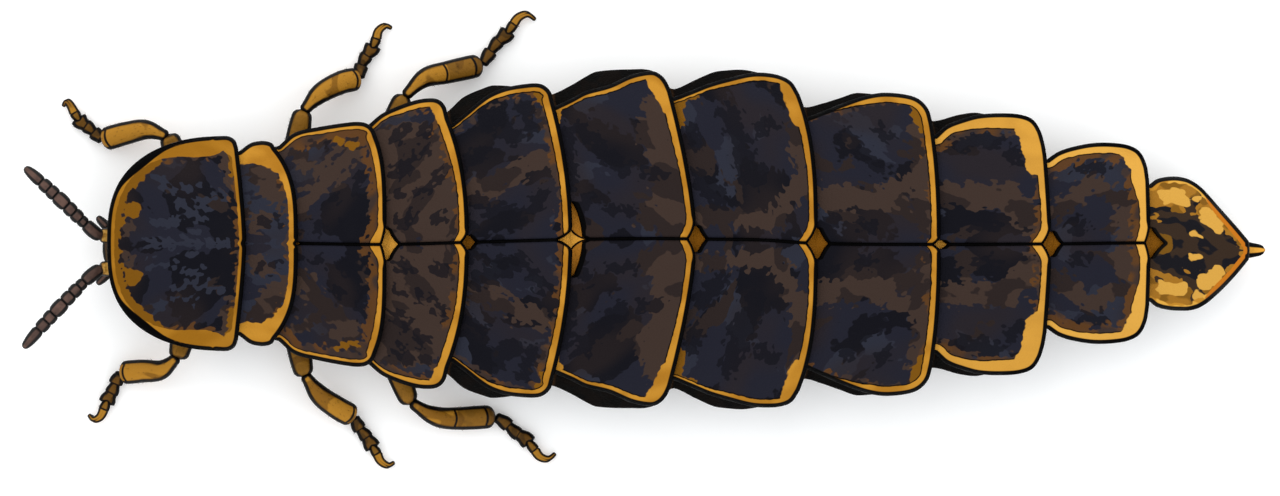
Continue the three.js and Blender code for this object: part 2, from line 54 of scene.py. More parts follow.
# %% Camera
PICTURE_WIDTH = 1280
PICTURE_MIDDLE_Y = 248.0
AXIS_PIXEL_Y = 243.5
BODY_PIXELS = 1164.0
BODY_LENGTH = 25.0
PIXEL = BODY_LENGTH / BODY_PIXELS
EDGE_HEIGHT = 1.6
LENS = 400.0
SENSOR_WIDTH = 36.0
NEAR_CLIP = 0.01
FAR_CLIP = 3.0

camera_data = bpy.data.cameras.new("camera")
camera_data.lens = LENS
camera_data.sensor_width = SENSOR_WIDTH
camera_data.clip_start = NEAR_CLIP
camera_data.clip_end = FAR_CLIP
distance = LENS / SENSOR_WIDTH * PICTURE_WIDTH * PIXEL
camera = bpy.data.objects.new("camera", camera_data)
bpy.context.scene.collection.objects.link(camera)
camera.location = (0.0, (AXIS_PIXEL_Y - PICTURE_MIDDLE_Y) * PIXEL * MM, (distance + EDGE_HEIGHT) * MM)
bpy.context.scene.camera = camera
print(f"camera: {distance:.0f} mm above the plates' edges")

# %% [markdown]
# The drawing stands on white paper with almost no shadow. One small bright lamp would throw a hard shadow,
# so a pale floor, an even sky and wide soft lamps do the work here. The lamp from the upper left is a little
# stronger, so that every form still has a light and a shaded side. The plain Standard view keeps the
# colours as they are mixed.

# %% Light
SKY_COLOUR = (0.96, 0.98, 1.0, 1.0)
SKY_STRENGTH = 1.14
# Of each lamp: its place and width in metres, its power in watts, and its colour
LAMPS = {
    "key_lamp": ((-0.12, 0.14, 0.24), 0.36, 0.26, (1.0, 0.97, 0.92)),
    "fill_lamp": ((0.18, -0.12, 0.20), 0.36, 0.12, (0.92, 0.96, 1.0)),
    "rear_lamp": ((0.12, 0.22, 0.10), 0.20, 0.05, (1.0, 0.98, 0.95)),
}

bpy.context.scene.view_settings.view_transform = "Standard"
world = bpy.data.worlds.new("soft_sky")
bpy.context.scene.world = world
world.use_nodes = True
sky = world.node_tree.nodes["Background"]
sky.inputs["Color"].default_value = SKY_COLOUR
sky.inputs["Strength"].default_value = SKY_STRENGTH

for name, (place, width, power, colour) in LAMPS.items():
    lamp_data = bpy.data.lights.new(name, "AREA")
    lamp_data.shape = "DISK"
    lamp_data.size = width
    lamp_data.energy = power
    lamp_data.color = colour
    lamp = bpy.data.objects.new(name, lamp_data)
    bpy.context.scene.collection.objects.link(lamp)
    lamp.location = place
    # A lamp shines along its own -Z, which is turned towards the middle of the animal
    lamp.rotation_euler = (-lamp.location).to_track_quat("-Z", "Y").to_euler()
    lamp.visible_camera = False
print(f"light: an even sky and {len(LAMPS)} round soft lamps")

# %% [markdown]
# A few small tools come first. The lengthwise lines of the animal could be drawn as Bezier curves, but a
# smooth function through a handful of measured places gives a whole array of values at once, and that is
# what a surface made of numbers needs. ease and bell are the two soft forms that most small details are
# made of, and strokes are the brush marks of the colour patches.


# %% Smooth functions
def smooth_through(pairs):
    """A smooth function of one number through [place, value] pairs. Between two pairs it is a cubic whose
    slope at each of them is that of the line from the pair before to the pair after. It is level beyond
    both ends."""
    places, values = np.array(pairs, float).T
    slopes = np.empty_like(values)
    slopes[1:-1] = (values[2:] - values[:-2]) / (places[2:] - places[:-2])
    slopes[0] = (values[1] - values[0]) / (places[1] - places[0])
    slopes[-1] = (values[-1] - values[-2]) / (places[-1] - places[-2])

    def value_at(place):
        place = np.clip(place, places[0], places[-1])
        i = np.clip(np.searchsorted(places, place) - 1, 0, len(places) - 2)
        step = places[i + 1] - places[i]
        t = (place - places[i]) / step
        ends = values[i] * (1 + 2 * t) * (1 - t) ** 2 + values[i + 1] * t * t * (3 - 2 * t)
        return ends + step * (slopes[i] * t * (1 - t) ** 2 - slopes[i + 1] * t * t * (1 - t))

    return value_at


def ease(value, low, high):
    """0 below low, 1 above high, and the curve 3t^2 - 2t^3 between them."""
    t = np.clip((value - low) / (high - low), 0, 1)
    return t * t * (3 - 2 * t)


def bell(value, width):
    """The bell curve: 1 at 0, and 0.37 at width."""
    return np.exp(-((value / width) ** 2))


hill = smooth_through([[0, 0.0], [1, 1.0], [2, 0.0]])
print(f"half way up a smooth hill: {hill(0.5):.3f}, on the curve of ease: {ease(0.5, 0, 1):.3f}")


# %% Waves, crowds and strokes
def ripple(x, y, size, seed, count=10):
    """Smooth irregular waves of about -1 to 1: the sum of count sine waves in random directions, each about
    size long, divided by the root of count."""
    dice = np.random.default_rng(seed)
    turns = dice.uniform(0, 2 * np.pi, count)
    phases = dice.uniform(0, 2 * np.pi, count)
    stretches = dice.uniform(0.7, 1.6, count)
    total = 0.0
    for turn, phase, stretch in zip(turns, phases, stretches):
        total = total + np.sin((x * np.cos(turn) + y * np.sin(turn)) * 2 * np.pi / (size * stretch) + phase)
    return total / np.sqrt(count)


def crowded(count, crowds):
    """count places from 0 to 1 that stand closer together in some parts. The density is 1, plus a bell
    curve for each crowd of [place, height, width], and its running total is cut in even steps."""
    t = np.linspace(0, 1, 4001)
    density = 1.0
    for place, height, width in crowds:
        density = density + height * bell(t - place, width)
    total = np.concatenate([[0], np.cumsum((density[1:] + density[:-1]) / 2)])
    return np.interp(np.linspace(0, 1, count), total / total[-1], t)


def strokes(x, y, lines):
    """How deep each place lies inside the nearest stroke: its radius less the distance to its line, both in
    millimetres. A stroke is [x0, y0, x1, y1, radius]."""
    depth = np.full(x.shape, -1.0)
    for x0, y0, x1, y1, radius in lines:
        step_x, step_y = x1 - x0, y1 - y0
        t = ((x - x0) * step_x + (y - y0) * step_y) / max(step_x**2 + step_y**2, 1e-9)
        t = np.clip(t, 0, 1)
        depth = np.maximum(depth, radius - np.hypot(x - x0 - t * step_x, y - y0 - t * step_y))
    return depth


print("five places that crowd at 0:", crowded(5, [[0.0, 9.0, 0.1]]).round(3))

# %% [markdown]
# All meshes here are grids of points. A grid alone is a sheet with an open border, and a real plate or leg
# has an inside, so two helpers close it: pillow joins two grids at their common edge, and closed_tube draws
# the first and the last ring of a tube together to a point. A modifier could thicken a sheet too, but then
# the edge would have the same wall everywhere. The faces come from arithmetic on the numbers of the points,
# for a whole mesh at once.


# %% Closed forms from grids
def grid_quads(index):
    """The four-sided faces of a grid of point numbers, seen from the side where rows x columns points to
    you."""
    return np.stack([index[:-1, :-1], index[1:, :-1], index[1:, 1:], index[:-1, 1:]], -1).reshape(-1, 4)


def split_corners(quads, corners):
    """Cuts the quads at the given corner points in two, from the corner inwards. Otherwise the two skins of
    a pillow could both be cut the other way, and share a triangle there."""
    at_corner = np.isin(quads, corners)
    cut = at_corner.any(1)
    first = at_corner[cut].argmax(1)[:, None]
    turned = np.take_along_axis(quads[cut], (first + np.arange(4)) % 4, 1)
    none = np.full((len(turned), 1), -1)
    halves = [np.hstack([turned[:, [0, 1, 2]], none]), np.hstack([turned[:, [0, 2, 3]], none])]
    return np.concatenate([quads[~cut], *halves])


def pillow(upper, lower, **attributes):
    """A closed body between two grids of points that share their edge, such as a plate. The edge is taken
    from the upper grid, and an attribute is given for both grids, as a pair."""
    rows, columns, _ = upper.shape
    top = np.arange(rows * columns).reshape(rows, columns)
    inner = (slice(1, -1), slice(1, -1))
    under = top.copy()
    under[inner] = rows * columns + np.arange((rows - 2) * (columns - 2)).reshape(rows - 2, columns - 2)
    points = np.concatenate([upper.reshape(-1, 3), lower[inner].reshape(-1, 3)])
    quads = np.concatenate([grid_quads(top), grid_quads(under)[:, ::-1]])
    faces = split_corners(quads, top[[0, 0, -1, -1], [0, -1, 0, -1]])
    part = {"points": points, "faces": faces}
    for key, (above, below) in attributes.items():
        tail = above.shape[2:]
        part[key] = np.concatenate([above.reshape(-1, *tail), below[inner].reshape(-1, *tail)])
    return part


def closed_tube(rings, **attributes):
    """A closed tube through rings of points (rings, around, 3). Its first and last ring shrink to their
    middle point."""
    count, around, _ = rings.shape

    def shrink(grid):
        first, last = grid[0].mean(0)[None], grid[-1].mean(0)[None]
        return np.concatenate([first, grid[1:-1].reshape(-1, *grid.shape[2:]), last])

    body = 1 + np.arange((count - 2) * around).reshape(count - 2, around)
    beside = np.roll(body, -1, axis=1)
    quads = np.stack([body[:-1], beside[:-1], beside[1:], body[1:]], -1).reshape(-1, 4)
    last = (count - 2) * around + 1
    none = np.full(around, -1)
    first_fan = np.stack([np.zeros(around, int), beside[0], body[0], none], -1)
    last_fan = np.stack([np.full(around, last), body[-1], beside[-1], none], -1)
    part = {"points": shrink(rings), "faces": np.concatenate([quads, first_fan, last_fan])}
    for key, grid in attributes.items():
        part[key] = shrink(grid)
    return part


print("faces of a 3 x 3 grid of points:", grid_quads(np.arange(9).reshape(3, 3)).tolist())


# %% From parts to a piece
def new_piece(name, parts, finish, nodes):
    """Joins parts into one mesh object that rides on the frame, stands for nodes and takes the given finish.
    A face is a row of four point numbers, with -1 as the last one of a triangle."""
    starts = np.cumsum([0] + [len(part["points"]) for part in parts])
    points = np.concatenate([part["points"] for part in parts]) * MM
    shifted = []
    for part, start in zip(parts, starts):
        shifted.append(np.where(part["faces"] >= 0, part["faces"] + start, -1))
    faces = np.concatenate(shifted)
    used = faces >= 0
    sizes = used.sum(1)
    mesh = bpy.data.meshes.new(name)
    mesh.vertices.add(len(points))
    mesh.vertices.foreach_set("co", points.astype(np.float32).ravel())
    mesh.loops.add(int(sizes.sum()))
    mesh.loops.foreach_set("vertex_index", faces[used].astype(np.int32))
    mesh.polygons.add(len(faces))
    mesh.polygons.foreach_set("loop_start", (np.cumsum(sizes) - sizes).astype(np.int32))
    mesh.polygons.foreach_set("use_smooth", np.ones(len(faces), bool))
    for key in sorted(set(parts[0]) - {"points", "faces"}):
        values = np.concatenate([part[key] for part in parts]).astype(np.float32)
        vector = values.ndim == 2
        layer = mesh.attributes.new(key, "FLOAT_VECTOR" if vector else "FLOAT", "POINT")
        layer.data.foreach_set("vector" if vector else "value", values.ravel())
    mesh.update(calc_edges=True)
    mesh.validate()
    mesh.materials.append(finish)
    piece = bpy.data.objects.new(name, mesh)
    bpy.context.scene.collection.objects.link(piece)
    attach(piece, "root")
    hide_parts(*nodes)
    print(f"{name}: {len(points)} points, {int((sizes - 2).sum())} triangles")
    return piece


# %% [markdown]
# Each finish is a short chain of nodes: patterns give a number, numbers choose between colours, and the
# shader gets the result. Such a chain could be drawn by hand in the node editor. As code it can be read from
# top to bottom and used again, so this small writer adds one node at a time. Colours are linear, not screen,
# values.


# %% A writer for finishes
class Finish:
    """A material that is made step by step. Each method adds a node or two and gives back their output."""

    def __init__(self, name):
        self.material = bpy.data.materials.new(name)
        self.material.use_nodes = True
        self.tree = self.material.node_tree
        self.shader = self.tree.nodes["Principled BSDF"]

    def put(self, socket, value):
        """Links an output to the socket, or sets a number or a colour on it."""
        if isinstance(value, bpy.types.NodeSocket):
            self.tree.links.new(value, socket)
        elif isinstance(value, tuple) and len(value) == 3 and socket.type == "RGBA":
            socket.default_value = (*value, 1.0)
        else:
            socket.default_value = value

    def attribute(self, name, output="Fac"):
        """A value that the mesh carries at each point."""
        node = self.tree.nodes.new("ShaderNodeAttribute")
        node.attribute_name = name
        return node.outputs[output]

    def place(self):
        """The place on the animal, in millimetres."""
        node = self.tree.nodes.new("ShaderNodeTexCoord")
        return self.vector("SCALE", node.outputs["Object"], scale=1 / MM)

    def vector(self, action, first, second=None, scale=None):
        """Arithmetic with vectors, such as ADD or MULTIPLY."""
        node = self.tree.nodes.new("ShaderNodeVectorMath")
        node.operation = action
        self.put(node.inputs[0], first)
        if second is not None:
            self.put(node.inputs[1], second)
        if scale is not None:
            node.inputs["Scale"].default_value = scale
        return node.outputs["Vector"]

    def separate(self, vector):
        """The three numbers of a vector, as a list of outputs."""
        node = self.tree.nodes.new("ShaderNodeSeparateXYZ")
        self.put(node.inputs["Vector"], vector)
        return list(node.outputs)

    def noise(self, where, scale, detail=2.0, rough=0.5, bend=0.0):
        """Soft clouds from 0 to 1, with scale clouds to a unit and detail finer layers."""
        node = self.tree.nodes.new("ShaderNodeTexNoise")
        self.put(node.inputs["Vector"], where)
        node.inputs["Scale"].default_value = scale
        node.inputs["Detail"].default_value = detail
        node.inputs["Roughness"].default_value = rough
        node.inputs["Distortion"].default_value = bend
        return node.outputs["Fac"]

    def ragged(self, where, scale, detail, size):
        """Noise about 0, from minus half of size to plus half. Added to a depth, it tears a border."""
        return self.math("MULTIPLY_ADD", self.noise(where, scale, detail), size, -size / 2)

    def cells(self, where, scale):
        """The distance to the nearest of many scattered points, which looks like fine grains."""
        node = self.tree.nodes.new("ShaderNodeTexVoronoi")
        self.put(node.inputs["Vector"], where)
        node.inputs["Scale"].default_value = scale
        return node.outputs["Distance"]

    def math(self, action, first, second=0.0, third=0.0):
        """Arithmetic with numbers. MULTIPLY_ADD gives first times second, plus third."""
        node = self.tree.nodes.new("ShaderNodeMath")
        node.operation = action
        for socket, value in zip(node.inputs, (first, second, third)):
            self.put(socket, value)
        return node.outputs["Value"]

    def step(self, value, low, high, bottom=0.0, top=1.0):
        """bottom where value is under low, top where it is over high, and smooth between."""
        node = self.tree.nodes.new("ShaderNodeMapRange")
        node.interpolation_type = "SMOOTHSTEP"
        names = ("Value", "From Min", "From Max", "To Min", "To Max")
        for key, given in zip(names, (value, low, high, bottom, top)):
            self.put(node.inputs[key], given)
        return node.outputs["Result"]

    def torn(self, name, ragged, share, border=0.012):
        """1 where the depth that the mesh carries under this name is over 0, and 0 where it is under. A
        share of the ragged noise is added to the depth, and border is half the width of the soft line."""
        depth = self.math("MULTIPLY_ADD", ragged, share, self.attribute(name))
        return self.step(depth, -border, border)

    def mix(self, share, under, over):
        """The colour under where share is 0, over where it is 1."""
        node = self.tree.nodes.new("ShaderNodeMix")
        node.data_type = "RGBA"
        self.put(node.inputs[0], share)
        self.put(node.inputs[6], under)
        self.put(node.inputs[7], over)
        return node.outputs[2]

    def choose(self, value, low, high, first, second):
        """The first colour where value is under low, the second where it is over high, a blend between."""
        return self.mix(self.step(value, low, high), first, second)

    def bump(self, height, depth, below=None):
        """Relief from a height of 0 to 1, depth millimetres deep, over the relief below."""
        node = self.tree.nodes.new("ShaderNodeBump")
        node.inputs["Strength"].default_value = 1.0
        node.inputs["Distance"].default_value = depth * MM
        self.put(node.inputs["Height"], height)
        if below is not None:
            self.put(node.inputs["Normal"], below)
        return node.outputs["Normal"]

    def done(self, colour, roughness, relief=None, **constants):
        """Gives the shader its colour, roughness, relief and constant values."""
        self.put(self.shader.inputs["Base Color"], colour)
        self.put(self.shader.inputs["Roughness"], roughness)
        if relief is not None:
            self.put(self.shader.inputs["Normal"], relief)
        for key, value in constants.items():
            self.shader.inputs[key.replace("_", " ")].default_value = value
        print(f"finish {self.material.name}: {len(self.tree.nodes)} nodes")
        return self.material


# %% [markdown]
# The plates are hard horn. Their colours follow the picture: slate and near black in ragged patches, brown
# in others, and a warm ochre rim along the sides and the rear of each plate. An image could be laid on them,
# but a pattern that is worked out stays sharp at any distance. The patches mirror each other across the
# middle line, so the pattern reads a coordinate that is folded there, turned and stretched along the plate's
# streaks. The meshes carry how deep each place lies inside the rim and inside the larger patches, in
# millimetres. Fine noise is added to these depths, which gives the patches their torn edges. The edge of a
# plate is a thin dark bead, and a second thin line runs along the inner side of the rim.

# %% Colours of the plates
INK = (0.0009, 0.0008, 0.0009)
NIGHT = (0.0054, 0.0053, 0.0082)
SLATE = (0.0126, 0.0128, 0.0208)
PALE_SLATE = (0.0195, 0.0212, 0.0325)
BROWN = (0.0400, 0.0250, 0.0195)
DARK_BROWN = (0.0200, 0.0135, 0.0125)
RUST = (0.0950, 0.0390, 0.0105)
OCHRE = (0.3500, 0.1480, 0.0125)
PALE_OCHRE = (0.4700, 0.2150, 0.0230)
SHIELD_OCHRE = (0.2700, 0.1120, 0.0075)
SHIELD_PALE_OCHRE = (0.3400, 0.1480, 0.0125)
DEEP_OCHRE = (0.1650, 0.0680, 0.0045)
GOLD = (0.6400, 0.3350, 0.0560)
# Each kind of patch reads another part of one noise: how far that part is moved, and its scale
SLATE_PATCHES = ((3.1, 0.0, 9.0), 1.15)
PALE_PATCHES = ((0.0, 5.3, 4.0), 1.5)
DARK_BROWN_PATCHES = ((1.7, 8.8, 2.0), 1.6)
BROWN_PATCHES = ((6.1, 1.8, 5.0), 1.9)


def camouflage(finish, pattern, ragged, fine):
    """The dark field of a plate as a colour. A patch lies where its noise is over a limit, or where its
    strokes are. fine makes the patches smaller."""

    def patches(offset, scale):
        """Smooth noise of about 0.5 with a little of the torn edge in it."""
        moved = finish.vector("ADD", pattern, offset)
        smooth = finish.noise(moved, scale * fine, detail=0.6, rough=0.5, bend=0.4)
        return finish.math("MULTIPLY_ADD", ragged, 0.18, smooth)

    def less_gloom(value):
        """On a gloomy plate fewer places are over the limit, so more of it is night."""
        return finish.math("SUBTRACT", value, finish.attribute("gloom"))

    colour = finish.choose(less_gloom(patches(*SLATE_PATCHES)), 0.45, 0.465, NIGHT, SLATE)
    colour = finish.choose(less_gloom(patches(*PALE_PATCHES)), 0.62, 0.635, colour, PALE_SLATE)
    tint = finish.step(finish.noise(pattern, scale=0.7, detail=1.0), 0.44, 0.66, bottom=0.0, top=0.5)
    colour = finish.mix(tint, colour, DARK_BROWN)
    colour = finish.choose(patches(*DARK_BROWN_PATCHES), 0.65, 0.665, colour, DARK_BROWN)
    brown = finish.choose(patches(*BROWN_PATCHES), 0.44, 0.46, DARK_BROWN, BROWN)
    colour = finish.mix(finish.torn("brown", ragged, 0.7), colour, brown)
    colour = finish.mix(finish.torn("pale", ragged, 0.7), colour, PALE_SLATE)
    night = finish.math("MULTIPLY", finish.torn("night", ragged, 0.7), 0.8)
    return finish.mix(night, colour, NIGHT)


print("the dark field goes from", NIGHT, "to", PALE_SLATE, "and", BROWN)

# %% Finish of the plates
def inked_edge(finish, colour):
    """The colour with the thin dark bead along the edge of a plate."""
    return finish.choose(finish.attribute("edge"), 0.082, 0.102, INK, colour)


def horn_relief(finish):
    """The relief of a plate: fine grains under softer dents."""
    place = finish.place()
    grains = finish.bump(finish.cells(place, scale=17.0), depth=0.008)
    return finish.bump(finish.noise(place, scale=6.0, detail=4.0, rough=0.6), 0.018, grains)


def plate_finish(name, rim_dark, rim_light, fine):
    """The colours from the lowest to the uppermost: the dark field, rust inside the rim, amber spots, the
    thin inner line, the ochre rim and its lobes, and the ink of the edge and the middle groove."""
    finish = Finish(name)
    pattern = finish.attribute("pattern", "Vector")
    ragged = finish.ragged(pattern, scale=6.5, detail=1.0, size=0.9)
    colour = camouflage(finish, pattern, ragged, fine)
    rust = finish.choose(finish.noise(pattern, scale=1.8, detail=1.0), 0.42, 0.56, BROWN, RUST)
    rusty = finish.math("MULTIPLY", finish.torn("rust", ragged, 0.7, border=0.02), 0.85)
    colour = finish.mix(rusty, colour, rust)
    colour = finish.mix(finish.torn("amber", ragged, 0.3), colour, DEEP_OCHRE)

    rim_inside = finish.math("MULTIPLY_ADD", ragged, 0.05, finish.attribute("ochre"))
    line = finish.step(finish.math("ABSOLUTE", rim_inside), 0.010, 0.024, bottom=1.0, top=0.0)
    colour = finish.mix(finish.math("MULTIPLY", line, finish.attribute("line")), colour, INK)
    rim = finish.choose(finish.noise(pattern, scale=1.6, detail=1.0), 0.36, 0.64, rim_dark, rim_light)
    rim = finish.mix(finish.attribute("bright"), rim, GOLD)
    colour = finish.choose(rim_inside, 0.004, 0.016, colour, rim)
    colour = finish.mix(finish.torn("lobe", ragged, 0.18), colour, rim)
    colour = inked_edge(finish, colour)
    colour = finish.choose(finish.attribute("middle"), 0.028, 0.046, INK, colour)
    rough = finish.step(finish.noise(pattern, scale=3.0, detail=3.0), 0.3, 0.7, bottom=0.44, top=0.62)
    return finish.done(colour, rough, horn_relief(finish), Specular_IOR_Level=0.02)


plate_material = plate_finish("plate_slate_and_ochre", OCHRE, PALE_OCHRE, 0.8)
shield_material = plate_finish("shield_slate_and_ochre", SHIELD_OCHRE, SHIELD_PALE_OCHRE, 1.0)

# %% [markdown]
# The long lines of the back come from the measured model: the ridge along the middle, the eaves along both
# sides, and the half width between them. Only the middle differs a little. Ahead of the tail it wanders up
# to a tenth of a millimetre aside, as in the picture, where the solids keep it straight. The lines could be
# drawn anew for each plate, but as one smooth function each they let every plate be cut from the same long
# roof.

# %% Lines of the back
NOSE_X = -11.53
TAIL_X = NOSE_X + BODY_LENGTH
TAIL_ASIDE = -0.14
HEAD_Y = -0.15

ridge = smooth_through([
    [-11.4, 2.2], [-10.4, 2.65], [-9.3, 2.85], [-8.4, 2.85], [-7.3, 2.8], [-5.4, 2.95], [-3.7, 3.15],
    [-1.4, 3.3], [1.2, 3.35], [3.8, 3.25], [6.4, 3.0], [8.8, 2.6], [10.9, 2.15], [12.2, 1.75],
    [TAIL_X, 1.38],
])
eaves = smooth_through([
    [-11.4, 2.1], [-9.5, 1.85], [-7.3, 1.75], [-3.7, 1.75], [1.2, 1.8], [6.4, 1.8], [8.8, 1.7], [10.9, 1.5],
    [TAIL_X, 1.25],
])
outline = smooth_through([
    [-8.53, 2.3], [-7.3, 2.53], [-6.23, 2.66], [-4.51, 3.14], [-2.36, 3.44], [0.21, 3.69], [2.15, 3.65],
    [4.94, 3.33], [7.52, 2.86], [9.77, 2.17], [11.6, 1.46], [12.67, 0.77], [TAIL_X, 0.25],
])
aside = smooth_through([
    [-7.3, 0.0], [-5.4, -0.02], [-3.66, 0.025], [-1.44, 0.085], [0.3, 0.105], [1.22, 0.095], [2.6, 0.075],
    [3.8, 0.0], [6.43, -0.02], [8.8, -0.01], [11.5, 0.0], [12.5, TAIL_ASIDE], [TAIL_X, TAIL_ASIDE],
])
print(f"back: {ridge(1.2):.2f} mm high and {2 * outline(0.21):.2f} mm wide at its thickest")

# %% [markdown]
# The next table holds all plates, and one function makes each from its row. A plate is known by its rear
# rim, how far and how sharply (bend) that sweeps forward to the corners, the cut at the middle, and the
# outline of its side. These values are those of the measured model, apart from a few corners that follow
# the picture more closely. cut is the depth and half width of the star between two plates at the middle
# line, and how much more of it lies behind the rim than ahead. lens is a wider cut in a plate's front.
#
# The other values belong to the colours. rear is the rim's width at the middle, halfway and at the corner of
# the rear edge, flank its width at the front and the rear of the side, and turn the angle of the streaks in
# degrees. Where straight is set, the ochre of the rim doesn't follow the star's cut. line is the strength
# of the thin line inside the rim, rust how far the brown seam reaches past it, gloom how much darker the
# field is than others, and bright how golden the rim. The patches are strokes, [x0, y0, x1, y1, radius], on
# one side of the middle line: brown, night and pale in the field, amber spots beside the rim, and lobes that
# widen the rim.

